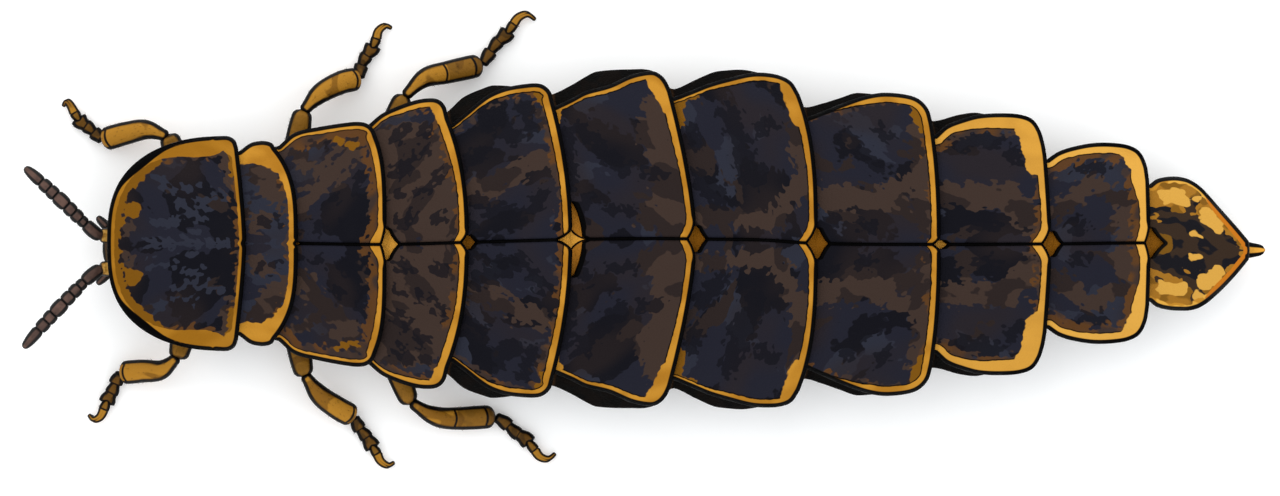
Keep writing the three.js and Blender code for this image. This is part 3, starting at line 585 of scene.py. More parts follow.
# %% Table of the plates
PLATES = [
    {"name": "pronotum", "rim": -8.42, "sweep": 0.2, "bend": 1.5, "cut": (0.03, 0.12, 0.0),
     "side": [[-9.1, 2.3], [-8.9, 2.31], [-8.78, 2.28], [-8.68, 2.19], [-8.63, 2.05]],
     "rear": (0.16, 0.16, 0.17), "flank": (0.3, 0.3), "turn": -35, "line": 0.0, "rust": 0.05, "gloom": 0.07,
     "pale": [[-10.4, 1.46, -9.39, 0.47, 0.05], [-10.45, 0.45, -9.95, 0.5, 0.07],
              [-10.5, 0.02, -8.8, 0.02, 0.06], [-9.75, 0.62, -9.4, 0.66, 0.07],
              [-9.8, 1.18, -9.5, 1.2, 0.06], [-9.5, 0.85, -8.95, 1.0, 0.07]],
     "brown": [[-8.9, 1.85, -8.72, 1.2, 0.16], [-11.0, 0.3, -10.95, 0.4, 0.12]],
     "amber": [[-10.88, 0.70, -10.84, 0.74, 0.16], [-11.12, 0.45, -10.98, 0.62, 0.05],
               [-11.25, 0.0, -11.21, 0.66, 0.10], [-11.19, 0.66, -11.07, 1.08, 0.11],
               [-11.07, 1.08, -10.77, 1.49, 0.13], [-10.77, 1.49, -10.35, 1.79, 0.12],
               [-8.78, 2.0, -8.7, 1.5, 0.10]]},
    {"name": "mesonotum", "rim": -7.32, "sweep": 0.5, "bend": 3.5, "cut": (0.05, 0.12, 0.0),
     "side": [[-8.62, 1.98], [-8.38, 2.15], [-8.16, 2.2], [-8.0, 2.19], [-7.88, 2.14], [-7.82, 2.05]],
     "rear": (0.20, 0.20, 0.24), "flank": (0.16, 0.16), "turn": 10, "line": 0.0, "rust": 0.03, "gloom": -0.2,
     "brown": [[-8.1, 1.55, -7.75, 1.1, 0.32], [-8.2, 0.4, -7.7, 0.9, 0.2]],
     "night": [[-8.1, 0.5, -7.95, 0.45, 0.08], [-7.8, 0.5, -7.7, 0.4, 0.07]],
     "pale": [[-8.4, 0.0, -7.5, 0.0, 0.03], [-8.2, 0.8, -7.8, 0.75, 0.07]],
     "lobe": [[-8.6, 2.2, -8.05, 2.2, 0.50], [-8.05, 2.2, -7.85, 2.0, 0.40], [-7.85, 2.0, -7.70, 1.70, 0.22],
              [-7.70, 1.70, -7.60, 1.45, 0.14]]},
    {"name": "metanotum", "rim": -5.42, "sweep": 0.22, "bend": 4.4, "cut": (0.17, 0.56, 0.07),
     "side": [[-7.77, 2.09], [-7.44, 2.37], [-6.94, 2.5], [-6.21, 2.62], [-5.95, 2.62], [-5.8, 2.56],
              [-5.7, 2.45], [-5.64, 2.3]],
     "rear": (0.27, 0.18, 0.22), "flank": (0.14, 0.16), "turn": 40, "line": 0.7, "rust": 0.18,
     "gloom": -0.02,
     "brown": [[-6.2, 1.9, -7.3, 0.75, 0.22], [-7.4, 1.85, -6.9, 1.6, 0.14], [-6.6, 1.9, -6.0, 2.3, 0.12]],
     "night": [[-6.9, 0.33, -6.82, 0.37, 0.11], [-6.35, 0.5, -6.25, 0.45, 0.13],
               [-6.55, 1.0, -6.45, 1.05, 0.11], [-6.0, 1.1, -5.9, 1.5, 0.14], [-7.3, 0.3, -7.2, 0.3, 0.08]],
     "amber": [[-6.5, 2.22, -6.1, 2.1, 0.07]]},
    {"name": "tergite_1", "rim": -3.66, "sweep": 0.44, "bend": 2.5, "cut": (0.14, 0.32, 0.0),
     "side": [[-5.84, 2.57], [-5.58, 2.79], [-5.3, 2.93], [-4.85, 3.08], [-4.51, 3.12], [-4.3, 3.07],
              [-4.17, 2.92], [-4.1, 2.67]],
     "rear": (0.21, 0.20, 0.25), "flank": (0.14, 0.19), "turn": 35, "line": 0.9, "rust": 0.1, "gloom": -0.05,
     "brown": [[-5.2, 1.3, -4.3, 1.3, 1.3]],
     "night": [[-5.2, 2.3, -5.0, 2.42, 0.14], [-4.7, 2.4, -4.5, 2.5, 0.12], [-5.2, 1.55, -5.0, 1.7, 0.15],
               [-4.35, 1.4, -4.2, 1.55, 0.12], [-4.7, 1.1, -4.5, 1.2, 0.13], [-5.1, 0.45, -4.9, 0.55, 0.14],
               [-4.4, 0.5, -4.25, 0.55, 0.12], [-4.8, 1.9, -4.6, 2.0, 0.10], [-5.3, 1.0, -5.15, 1.05, 0.10]],
     "lobe": [[-4.35, 2.95, -4.15, 2.62, 0.17]]},
    {"name": "tergite_2", "rim": -1.44, "sweep": 0.42, "bend": 2, "cut": (0.31, 0.27, 0.0),
     "side": [[-4.06, 2.55], [-3.8, 2.76], [-3.5, 3.0], [-3.25, 3.17], [-2.9, 3.3], [-2.4, 3.37],
              [-2.15, 3.36], [-2.0, 3.28], [-1.9, 3.15], [-1.86, 3.0]],
     "rear": (0.19, 0.20, 0.23), "flank": (0.12, 0.18), "turn": 30, "line": 1.0, "rust": 0.08,
     "straight": True,
     "brown": [[-3.61, 1.05, -1.9, 1.78, 0.20], [-2.15, 2.7, -1.8, 2.1, 0.16], [-3.3, 0.9, -2.6, 1.6, 0.16]],
     "night": [[-3.2, 2.6, -2.7, 2.25, 0.22], [-2.5, 2.9, -2.3, 2.4, 0.16], [-3.5, 0.85, -2.6, 0.45, 0.2],
               [-2.3, 0.7, -2.0, 1.0, 0.14], [-3.7, 1.7, -3.4, 1.9, 0.14], [-3.9, 0.4, -3.6, 0.3, 0.14]],
     "amber": [[-2.05, 3.2, -1.9, 2.9, 0.20]]},
    {"name": "tergite_3", "rim": 1.22, "sweep": 0.56, "bend": 1.5, "cut": (0.18, 0.52, 0.0),
     "lens": (0.21, 0.88),
     "side": [[-1.83, 2.87], [-1.5, 3.02], [-1.2, 3.17], [-0.67, 3.31], [-0.24, 3.5], [0.08, 3.58],
              [0.3, 3.59], [0.46, 3.51], [0.58, 3.37], [0.67, 3.18]],
     "rear": (0.22, 0.20, 0.24), "flank": (0.14, 0.18), "turn": -35, "line": 0.9, "rust": -0.3,
     "brown": [[0.8, 0.2, 0.45, 2.7, 0.42], [0.2, 2.3, 0.5, 2.2, 0.3], [0.2, 0.5, 0.6, 0.6, 0.3]],
     "night": [[-1.29, 2.35, -0.36, 1.53, 0.17], [-1.6, 2.3, -1.5, 1.2, 0.16], [0.05, 1.45, 0.4, 1.4, 0.14],
               [-0.65, 0.64, -0.1, 0.6, 0.10], [-1.25, 0.45, -1.1, 0.9, 0.14]],
     "lobe": [[0.3, 3.5, 0.66, 2.85, 0.21], [-1.78, 2.96, -1.76, 2.72, 0.10],
              [-1.76, 2.72, -1.75, 2.5, 0.04]]},
    {"name": "tergite_4", "rim": 3.8, "sweep": 0.38, "bend": 3.2, "cut": (0.22, 0.56, 0.0),
     "side": [[0.72, 3.03], [1.1, 3.18], [1.46, 3.33], [1.9, 3.46], [2.4, 3.58], [2.75, 3.59], [3.05, 3.54],
              [3.27, 3.42], [3.42, 3.18]],
     "rear": (0.21, 0.19, 0.22), "flank": (0.13, 0.18), "turn": -60, "line": 0.9, "rust": -0.3,
     "brown": [[1.3, 0.5, 2.9, 0.42, 0.17], [2.9, 0.42, 3.5, 1.5, 0.2], [3.5, 1.2, 3.35, 2.6, 0.18]],
     "night": [[1.9, 2.7, 2.1, 2.2, 0.22], [2.1, 2.0, 2.5, 1.3, 0.24], [1.3, 1.3, 1.7, 0.9, 0.2],
               [2.6, 2.4, 2.8, 2.5, 0.16], [1.1, 2.4, 1.2, 2.0, 0.14]],
     "lobe": [[3.2, 3.35, 3.42, 2.7, 0.20]],
     "amber": [[0.78, 3.02, 0.83, 2.45, 0.13], [0.85, 3.05, 1.15, 3.14, 0.13]]},
    {"name": "tergite_5", "rim": 6.43, "sweep": 0.16, "bend": 2.5, "cut": (0.14, 0.20, 0.0),
     "side": [[3.45, 2.7], [3.8, 2.84], [4.2, 3.0], [4.66, 3.16], [5.1, 3.25], [5.5, 3.24], [5.86, 3.17],
              [6.06, 3.05], [6.2, 2.86], [6.27, 2.6]],
     "rear": (0.21, 0.20, 0.22), "flank": (0.07, 0.21), "turn": -30, "line": 1.0, "rust": 0.04,
     "brown": [[3.9, 1.0, 5.3, 1.0, 0.26], [5.2, 1.05, 6.1, 1.5, 0.2], [6.12, 0.4, 6.0, 2.5, 0.24]],
     "night": [[4.45, 2.35, 5.05, 1.65, 0.14], [5.15, 2.45, 5.3, 2.3, 0.14], [4.7, 0.42, 4.95, 0.38, 0.12],
               [4.0, 0.4, 4.2, 0.55, 0.12]],
     "amber": [[5.95, 2.92, 6.12, 2.55, 0.2]]},
    {"name": "tergite_6", "rim": 8.82, "sweep": 0.1, "bend": 1.2, "cut": (0.19, 0.48, 0.0),
     "side": [[6.31, 2.34], [6.55, 2.55], [6.87, 2.68], [7.3, 2.79], [7.9, 2.81], [8.25, 2.76], [8.46, 2.65],
              [8.6, 2.42], [8.68, 2.13], [8.72, 1.86]],
     "rear": (0.26, 0.21, 0.26), "flank": (0.22, 0.33), "turn": 0, "line": 0.9, "rust": 0.1, "bright": 0.45,
     "brown": [[6.5, 1.05, 7.9, 1.05, 0.26], [7.8, 1.0, 8.45, 0.5, 0.3]],
     "night": [[6.9, 2.2, 7.6, 2.3, 0.22], [7.95, 1.95, 8.1, 1.8, 0.16], [7.2, 0.4, 7.6, 0.4, 0.12]],
     "lobe": [[8.42, 2.45, 8.56, 1.75, 0.30], [8.3, 2.5, 8.5, 2.2, 0.26]]},
    {"name": "tergite_7", "rim": 10.95, "sweep": 0.02, "bend": 1, "cut": (0.20, 0.50, 0.10),
     "side": [[8.76, 1.82], [9.0, 1.98], [9.35, 2.09], [9.8, 2.16], [10.3, 2.14], [10.6, 2.06],
              [10.78, 1.91], [10.89, 1.64], [10.93, 1.33]],
     "rear": (0.24, 0.23, 0.42), "flank": (0.20, 0.23), "turn": 25, "line": 0.8, "rust": 0.16,
     "bright": 0.85, "gloom": -0.10,
     "brown": [[8.85, 0.65, 9.7, 1.3, 0.18], [9.7, 1.3, 10.3, 0.95, 0.2], [10.45, 0.35, 10.6, 0.9, 0.32]],
     "night": [[9.4, 1.65, 9.9, 1.65, 0.14], [9.3, 0.32, 9.6, 0.35, 0.10]],
     "lobe": [[10.55, 1.95, 10.8, 1.5, 0.22]]},
    {"name": "tergite_8", "rim": 13.1, "sweep": 0.02, "bend": 1, "cut": (0.0, 0.1, 0.0),
     "side": [[10.95, 1.26], [11.1, 1.37], [11.35, 1.43], [11.6, 1.44], [11.85, 1.40], [12.1, 1.27],
              [12.41, 0.98], [12.8, 0.56], [13.1, 0.2]],
     "rear": (0.12, 0.12, 0.12), "flank": (0.14, 0.14), "turn": 0, "line": 0.0, "rust": 0.0,
     "night": [[11.4, 0.2, 12.2, 0.1, 0.56], [12.2, 0.1, 12.85, 0.0, 0.26], [11.75, 0.62, 12.0, 1.12, 0.13]],
     "pale": [[11.28, 1.00, 11.62, 0.98, 0.17], [12.12, 0.76, 12.42, 0.50, 0.15],
              [11.95, 1.02, 12.0, 1.05, 0.08], [11.86, 0.26, 12.02, 0.24, 0.06]],
     # On the tail plate this amber stroke is painted shade at the front, under the rim ahead.
     "amber": [[10.95, 0.0, 11.2, 0.0, 0.20]]},
]
PATCHES = ("brown", "night", "pale", "lobe", "amber")
shield = PLATES[0]
tail = PLATES[-1]
GROOVED = range(2, len(PLATES) - 1)
stroke_count = sum(len(plate.get(kind, [])) for plate in PLATES for kind in PATCHES)
print(f"plates: {len(PLATES)}, with {stroke_count} strokes")

# %% [markdown]
# A plate is a thin pillow. It could be bent from a flat sheet, but its edges are easier to hold as lines:
# the upper face is a function of two shares, u from the front edge to the rear one, and v across. The front
# of each plate runs on under the rim ahead of it, deeper down, as roof tiles do. At the middle line the
# corners of two plates are cut back, and the skin shows there as a small four-pointed star.


# %% Edges of a plate
SHIELD_FRONT = -11.43
SHIELD_HALF = 2.3
SHIELD_POWER = 2.8
FRONT_GAP = 0.01


def rim_line(plate, y):
    """Place of the rear rim at y: it sweeps forward with a power of the distance from the middle."""
    corner = plate["side"][-1][1]
    return plate["rim"] - plate["sweep"] * (np.minimum(np.abs(y), corner) / corner) ** plate["bend"]


def star(plate, y, behind):
    """Depth of the cut at the middle of the rear rim, or of the one behind it, in the front of the next
    plate. It has hollow sides: (1 - off)^2, where off is the distance from the middle line as a share of
    the half width."""
    depth, half_width, shift = plate["cut"]
    off = np.abs(y) / half_width
    return (depth + (shift if behind else -shift)) * np.clip(1 - off, 0, 1) ** 2


def plate_ahead(plate):
    """The plate in front of this one."""
    return PLATES[PLATES.index(plate) - 1]


def front_cut(plate, y):
    """How far the front edge is cut back at y: by the star, and on one plate by a wider lens, 1 - off^2."""
    if plate is shield:
        return 0 * y
    depth, width = plate.get("lens", (0.0, 1.0))
    off = np.abs(y) / width
    return np.maximum(star(plate_ahead(plate), y, True), depth * np.clip(1 - off**2, 0, 1))


def rear_edge(plate, y):
    """Place of the rear edge at y: the rim, cut back by the star."""
    return rim_line(plate, y) - star(plate, y, False)


def front_edge(plate, y, v):
    """Place of the front edge at y. The shield's is a flat-nosed half oval, 1 - (1 - v^2.8)^0.5. Any other
    follows the rim ahead, and past the corner of that rim a straight line to the plate's own side."""
    own_x, own_y = plate["side"][0]
    if plate is shield:
        return SHIELD_FRONT + (own_x - SHIELD_FRONT) * (1 - np.sqrt(1 - np.abs(v) ** SHIELD_POWER))
    ahead = plate_ahead(plate)
    corner = ahead["side"][-1][1]
    reach = np.minimum(np.abs(y), own_y)
    edge = rim_line(ahead, reach)
    past = np.clip((reach - corner) / max(own_y - corner, 0.01), 0, 1)
    return edge + (own_x - edge) * past + FRONT_GAP + front_cut(plate, y)


print(f"star behind the metanotum: {star(PLATES[2], 0.0, True) + star(PLATES[2], 0.0, False):.2f} mm long")

# %% [markdown]
# Rows and columns crowd together at the edges and at the groove, where the form turns quickly. The thickness
# shrinks to nothing at the edge along a quarter circle, which rounds the rim. Small forms lie on the arch: a
# raised bead along the rim, two dimples, two swellings and the groove along the middle on most plates, and a
# gutter, a low crest and two hollows on the shield. They could be left to a bump pattern, but the rims catch
# the light at their real height only when the surface itself rises there.

# %% Grid of a plate
TUCK_SHARE = 0.12
TUCK_LENGTH = 0.36
OPEN_TUCK_LENGTH = 0.03
TUCK_NARROWS = 0.06
ROW_CROWDS = [[1.0, 6, 0.03], [0.0, 4, 0.03], [TUCK_SHARE, 3, 0.03]]
HALF_ROW_CROWDS = [[0.0, 9, 0.02], [1.0, 10, 0.02]]

PLATE_ROWS = 96
HALF_ROW_POINTS = 96
POINTS_AT_ONCE = 40

row_shares = crowded(PLATE_ROWS, ROW_CROWDS)
half_shares = crowded(HALF_ROW_POINTS, HALF_ROW_CROWDS)
column_shares = np.concatenate([-half_shares[:0:-1], half_shares])
print(f"plate grid: {len(row_shares)} rows, {len(column_shares)} columns")


def plate_grid(plate):
    """Grids of x, y, the share of the length u, the share across v, and how far a place is tucked under the
    rim ahead, from 0 to 1. x lies at the share u between the front and the rear edge. The tuck is short
    where the front is cut open."""
    first = 0.0 if plate is shield else -TUCK_SHARE
    u = (first + (1 - first) * row_shares)[:, None]
    v = column_shares[None, :]
    side = plate["side"]
    inside = np.clip(u, 0, 1)
    half = smooth_through(side)(side[0][0] + (side[-1][0] - side[0][0]) * inside)
    hidden = np.clip(-u / TUCK_SHARE, 0, 1) + 0 * v
    y = v * half * (1 - TUCK_NARROWS * hidden)
    front = front_edge(plate, y, v)
    x = front + (rear_edge(plate, y) - front) * inside
    if plate is not shield:
        open_here = ease(front_cut(plate, y), 0.0, 0.05)
        x = x - (OPEN_TUCK_LENGTH + (TUCK_LENGTH - OPEN_TUCK_LENGTH) * (1 - open_here)) * hidden
    return x, y, u + 0 * v, v + 0 * u, hidden


def distance_to(x, y, line):
    """Distance of each place of a grid to the nearest point of a line (points, 2): the smallest root of
    dx^2 + dy^2. The line is taken in groups of points to spare memory."""
    nearest = np.full(x.shape, np.inf)
    for start in range(0, len(line), POINTS_AT_ONCE):
        group = line[start : start + POINTS_AT_ONCE]
        dx = x[..., None] - group[:, 0]
        dy = y[..., None] - group[:, 1]
        nearest = np.minimum(nearest, np.sqrt(dx * dx + dy * dy).min(-1))
    return nearest


def plate_distances(plate, x, y, u):
    """Distances of each place to the rear edge, to the nearer side and to the front edge, which is the row
    where u is 0. The shield's side runs on round its front."""
    first = int(np.argmax(u[:, 0] >= 0))
    sides = [np.stack([x[first:, column], y[first:, column]], -1) for column in (0, -1)]
    rear = distance_to(x, y, np.stack([x[-1], y[-1]], -1))
    flank = distance_to(x, y, np.concatenate(sides))
    front = distance_to(x, y, np.stack([x[first], y[first]], -1))
    if plate is shield:
        flank = np.minimum(flank, front)
    return rear, flank, front


# %% Height of a plate
RIM_STEP = 0.16
TUCK_DIVE = 0.13
ARCH_POWER = 2.2
DOME_POWER = 1.3
# Height or depth, and width, in millimetres
BEAD_HEIGHT, BEAD_WIDTH, BEAD_INSET = 0.022, 0.06, 0.10
WAVE_HEIGHT, WAVE_LENGTH = 0.010, 0.9
GUTTER_DEPTH, GUTTER_WIDTH, GUTTER_INSET = 0.05, 0.20, 0.42
CREST_HEIGHT, CREST_WIDTH = 0.03, 0.10
HOLLOW_DEPTH, HOLLOW_WIDTH, HOLLOW_X, HOLLOW_Y = 0.05, 0.45, -9.3, 0.75
GROOVE_DEPTH, GROOVE_WIDTH = 0.07, 0.05
# Height or depth in millimetres, and place and width in shares of the plate
DIMPLE_DEPTH, DIMPLE_U, DIMPLE_ACROSS, DIMPLE_WIDTH = 0.03, 0.45, 0.5, 0.16
SWELL_HEIGHT, SWELL_U, SWELL_LENGTH, SWELL_ACROSS, SWELL_WIDTH = 0.03, 0.6, 0.3, 0.8, 0.12


def back_height(x, y, shield_share=None):
    """Height of the back: from the eaves to the ridge with 1 - across^2.2. The shield is rounder in front,
    with the cosine of across to the power 1.3."""
    half = SHIELD_HALF if shield_share is not None else outline(x)
    across = np.clip(np.abs(y) / half, 0, 1)
    arch = 1 - across**ARCH_POWER
    if shield_share is not None:
        domed = np.cos(np.pi / 2 * across) ** DOME_POWER
        arch = domed + (arch - domed) * shield_share**2
    return eaves(x) + (ridge(x) - eaves(x)) * arch


def plate_details(plate, x, y, u, edge):
    """Small forms on top of the arch, each a bell curve of the distance from its place."""
    number = PLATES.index(plate)
    middle = np.abs(y)
    height = BEAD_HEIGHT * bell(edge - BEAD_INSET, BEAD_WIDTH)
    height = height + WAVE_HEIGHT * ripple(x, y, WAVE_LENGTH, 100 + number) * ease(edge, 0.1, 0.5)
    if plate is shield:
        gutter = GUTTER_DEPTH * bell(edge - GUTTER_INSET, GUTTER_WIDTH) * ease(-x, 8.7, 9.3)
        crest = CREST_HEIGHT * bell(middle, CREST_WIDTH) * ease(-x, 8.6, 9.2)
        hollows = HOLLOW_DEPTH * bell(np.hypot(x - HOLLOW_X, (middle - HOLLOW_Y) * 0.8), HOLLOW_WIDTH)
        return height - gutter + crest - hollows
    across = middle / outline(x)
    from_dimple = np.hypot(u - DIMPLE_U, (across - DIMPLE_ACROSS) * 1.6)
    dimple = DIMPLE_DEPTH * bell(from_dimple, DIMPLE_WIDTH)
    groove = GROOVE_DEPTH * bell(middle, GROOVE_WIDTH) if number in GROOVED else 0.0
    swell = SWELL_HEIGHT * bell(across - SWELL_ACROSS, SWELL_WIDTH) * bell(u - SWELL_U, SWELL_LENGTH)
    return height - dimple - groove + swell


print(f"height of the back at its middle: {back_height(0.0, 0.0):.2f} mm")

# %% [markdown]
# The finish of a plate needs to know where it is. A flat picture of the plate would have to be painted for
# that. Here the mesh carries a few numbers at each point instead: the depth inside the rim, the distance to
# the dark edge, the depth inside each kind of stroke, and the folded coordinates of the pattern.

# %% Patterns of a plate
shield_margin = smooth_through([
    [-11.3, 0.17], [-10.7, 0.20], [-10.2, 0.27], [-9.5, 0.43], [-9.15, 0.42], [-8.8, 0.25],
])


def rim_depth(plate, x, y, u, v, rear, flank):
    """How deep each place lies in the ochre rim: the rim's width there less the distance to the edge. Beside
    a star the distance is taken lengthwise, which draws the rim out to a point at the middle line."""
    across = np.abs(v)
    off = np.abs(y) / plate["cut"][1]
    edge_line = rim_line(plate, y) if plate.get("straight") else rear_edge(plate, y)
    rear = rear + (edge_line - x - rear) * (1 - ease(off, 0.8, 1.3))
    inner, halfway, outer = plate["rear"]
    width = inner + (halfway - inner) * ease(across, 0.02, 0.14)
    width = width + (outer - halfway) * ease(across, 0.35, 0.75)
    if plate is shield:
        side_width = shield_margin(x)
    else:
        front_width, rear_width = plate["flank"]
        side_width = front_width + (rear_width - front_width) * ease(u, 0.1, 0.6)
    return np.maximum(width - rear, side_width - flank)


def ink_distance(plate, x, y, edge, front):
    """Distance to the dark line round a plate, which also runs along the front where that is cut open. The
    line is thinner beside the stars, so a little is added there. It is wider at the shield's shoulders,
    where the extra width is painted shade on the turned-down edge."""
    covered = 1 - ease(front_cut(plate, y), 0.01, 0.04)
    away = np.minimum(edge, front + 0.2 * covered)
    if plate is shield:
        # Painted shade: the line widens at the shield's shoulders, where its edge turns down.
        return away - 0.10 * bell(x + 10.65, 0.4) * ease(np.abs(y), 1.0, 1.4)
    for owner in (plate_ahead(plate), plate):
        beside = np.abs(y) / owner["cut"][1]
        away = away + 0.035 * (1 - ease(beside, 0.6, 1.0)) * (np.abs(x - owner["rim"]) < 0.6)
    return away


def streaked(plate, x, y):
    """The pattern's own coordinates: folded at the middle line, turned along the streaks and stretched
    there. The third one differs a little between the two sides, so that they aren't perfect mirrors."""
    fold = np.abs(y)
    turn = math.radians(plate["turn"])
    along_streak = x * math.cos(turn) + fold * math.sin(turn)
    over_streak = fold * math.cos(turn) - x * math.sin(turn)
    depth = PLATES.index(plate) * 7.3 + 0.12 * np.tanh(y / 0.4)
    return np.stack([along_streak * 0.8, over_streak * 1.15, depth], -1)


print(f"shield's ochre margin: {shield_margin(-11.3):.2f} mm in front, {shield_margin(-9.5):.2f} mm beside")


# %% Make the plates
PLATE_THICK = 0.13


def plate_values(plate, x, y, u, v, edge, rear, flank, front):
    """What the finish reads, for the upper and the lower face. The lower face lies outside all patches."""
    middle = np.abs(y)
    none = np.zeros_like(x)
    ochre = rim_depth(plate, x, y, u, v, rear, flank)
    groove = middle if PLATES.index(plate) in GROOVED else middle + 1
    depths = {"ochre": ochre, "rust": ochre + plate["rust"], "middle": groove}
    for kind in PATCHES:
        depths[kind] = strokes(x, middle, plate.get(kind, []))
    values = {key: (depth, none - 1) for key, depth in depths.items()}
    values["edge"] = (ink_distance(plate, x, y, edge, front), none)
    for key in ("line", "gloom", "bright"):
        values[key] = (none + plate.get(key, 0.0), none)
    pattern = streaked(plate, x, y)
    return values | {"pattern": (pattern, pattern)}


def plate_part(plate):
    """The closed pillow of a plate. Its upper face lies on the back, each plate half a step up at its rear
    and half a step down at its front, and dives where it is tucked under the plate ahead."""
    x, y, u, v, hidden = plate_grid(plate)
    rear, flank, front = plate_distances(plate, x, y, u)
    edge = np.minimum(rear, flank)
    surface = back_height(x, y, u if plate is shield else None)
    surface = surface + RIM_STEP * (np.clip(u, 0, 1) - 0.5) - TUCK_DIVE * hidden**1.3
    surface = surface + plate_details(plate, x, y, u, edge)
    rounding = np.minimum(edge, distance_to(x, y, np.stack([x[0], y[0]], -1)))
    radius = PLATE_THICK / 2
    swell = radius * np.sqrt(1 - (1 - np.clip(rounding / radius, 0, 1)) ** 2)
    upper = np.stack([x, y + aside(x), surface - radius + swell], -1)
    lower = np.stack([x, y + aside(x), surface - radius - swell], -1)
    return pillow(upper, lower, **plate_values(plate, x, y, u, v, edge, rear, flank, front))


for plate in PLATES[:-1]:
    material, slot = (shield_material, "shield") if plate is shield else (plate_material, "plate")
    new_piece(plate["name"] + "_shell", [plate_part(plate)], material, [plate["name"]])

# %% [markdown]
# The last plate is the brightest: ochre with pale spots on both sides, a dark mottled middle that narrows
# to the tip, and an orange rim behind. It could share the others' finish, but nearly every colour differs.
# So it has the same pillow, with a finish of its own.

# %% The tail plate
TAIL_OCHRE = (0.180, 0.078, 0.006)
TAIL_PALE_OCHRE = (0.30, 0.130, 0.012)
TAIL_NIGHT = (0.006, 0.0055, 0.008)
TAIL_BROWN = (0.030, 0.017, 0.010)
TAIL_SPOTS = (0.56, 0.295, 0.048)
TAIL_RIM = (0.44, 0.195, 0.018)
TAIL_PALE_RIM = (0.62, 0.32, 0.046)
TAIL_PAINTED_SHADE = (0.150, 0.066, 0.005)
TAIL_ORANGE = (0.46, 0.140, 0.007)


def tail_finish():
    """The colours from the lowest to the uppermost: ochre, the dark middle, the pale spots, the rim, the
    painted shade at the front under the plate ahead, the orange tip and the ink of the edge."""
    finish = Finish("tail_ochre_marbled")
    pattern = finish.attribute("pattern", "Vector")
    ragged = finish.ragged(pattern, scale=4.2, detail=1.6, size=1.1)
    colour = finish.choose(finish.noise(pattern, 2.2, 1.0), 0.44, 0.48, TAIL_OCHRE, TAIL_PALE_OCHRE)
    dark = finish.choose(finish.noise(pattern, 3.0, 1.0), 0.46, 0.50, TAIL_NIGHT, TAIL_BROWN)
    colour = finish.mix(finish.torn("night", ragged, 1.0), colour, dark)
    colour = finish.mix(finish.torn("pale", ragged, 0.35), colour, TAIL_SPOTS)
    rim = finish.choose(finish.noise(pattern, 3.4, 1.0), 0.44, 0.50, TAIL_RIM, TAIL_PALE_RIM)
    colour = finish.mix(finish.torn("ochre", ragged, 0.25), colour, rim)
    # Painted shade: a darker ochre at the front middle, under the rim of the plate ahead.
    colour = finish.mix(finish.torn("amber", ragged, 0.25), colour, TAIL_PAINTED_SHADE)
    orange = finish.math("MULTIPLY_ADD", ragged, 0.5, finish.attribute("orange"))
    colour = finish.choose(orange, 0.35, 0.42, colour, TAIL_ORANGE)
    colour = inked_edge(finish, colour)
    return finish.done(colour, 0.5, horn_relief(finish), Specular_IOR_Level=0.05)


tail_part = plate_part(tail)
towards_tip = ease(tail_part["points"][:, 0], 11.9, 12.5)
tail_part["orange"] = towards_tip * (1 - ease(tail_part["edge"], 0.10, 0.24))
new_piece("tergite_8_shell", [tail_part], tail_finish(), ["tergite_8"])

# %% [markdown]
# Under the plates runs one soft skin from the neck to the tail. It has a ring for each plate, a fold between
# rings, a flat belly on the floor and bulging flanks, which show from above as dark wedges ahead of some
# plates. Eleven separate rings would leave gaps where real skin only folds, so it is lofted in one go: the
# lower half of the section is a flat superellipse, and the upper half follows the roof of plates.

# %% Lines of the skin
RING_NAMES = [
    "prothorax", "mesothorax", "metathorax", "abdomen_1", "abdomen_2", "abdomen_3", "abdomen_4", "abdomen_5",
    "abdomen_6", "abdomen_7", "abdomen_8",
]
BELLIES = [0.75, 0.72, 0.68, 0.25, 0.0, 0.0, 0.0, 0.0, 0.06, 0.16, 0.32]
skin_half = smooth_through([
    [-10.8, 0.6], [-10.1, 1.25], [-9.3, 1.6], [-8.75, 1.58], [-8.5, 1.58], [-8.2, 1.8], [-7.85, 1.82],
    [-7.6, 1.85], [-6.9, 2.15], [-6.1, 2.35], [-5.85, 2.38], [-5.0, 2.86], [-4.6, 2.95], [-4.25, 2.76],
    [-4.1, 2.85], [-3.8, 3.12], [-3.35, 3.31], [-3.15, 3.36], [-2.6, 3.3], [-2.05, 3.14], [-1.88, 3.13],
    [-1.49, 3.31], [-1.14, 3.51], [-0.94, 3.60], [-0.25, 3.64], [0.28, 3.6], [0.55, 3.32], [0.72, 3.21],
    [1.19, 3.42], [1.55, 3.58], [1.74, 3.62], [2.3, 3.64], [2.9, 3.45], [3.25, 3.1], [3.5, 2.92],
    [3.87, 3.0], [4.3, 3.14], [4.7, 3.25], [5.5, 3.1], [6.0, 2.75], [6.3, 2.65], [6.87, 2.79], [7.3, 2.82],
    [8.1, 2.55], [8.55, 2.0], [8.75, 1.75], [9.6, 1.98], [10.4, 1.9], [10.75, 1.4], [10.96, 1.1],
    [11.6, 1.26], [12.4, 0.85], [13.1, 0.28],
])
ring_belly = smooth_through([[number + 0.5, belly] for number, belly in enumerate(BELLIES)])
NECK_X = -10.85
BELLY_POWER = 3.5
ROOF_POWER = 7.0
print(f"skin: {2 * skin_half(2.3):.2f} mm wide, and {ring_belly(1.5):.2f} mm off the floor in front")


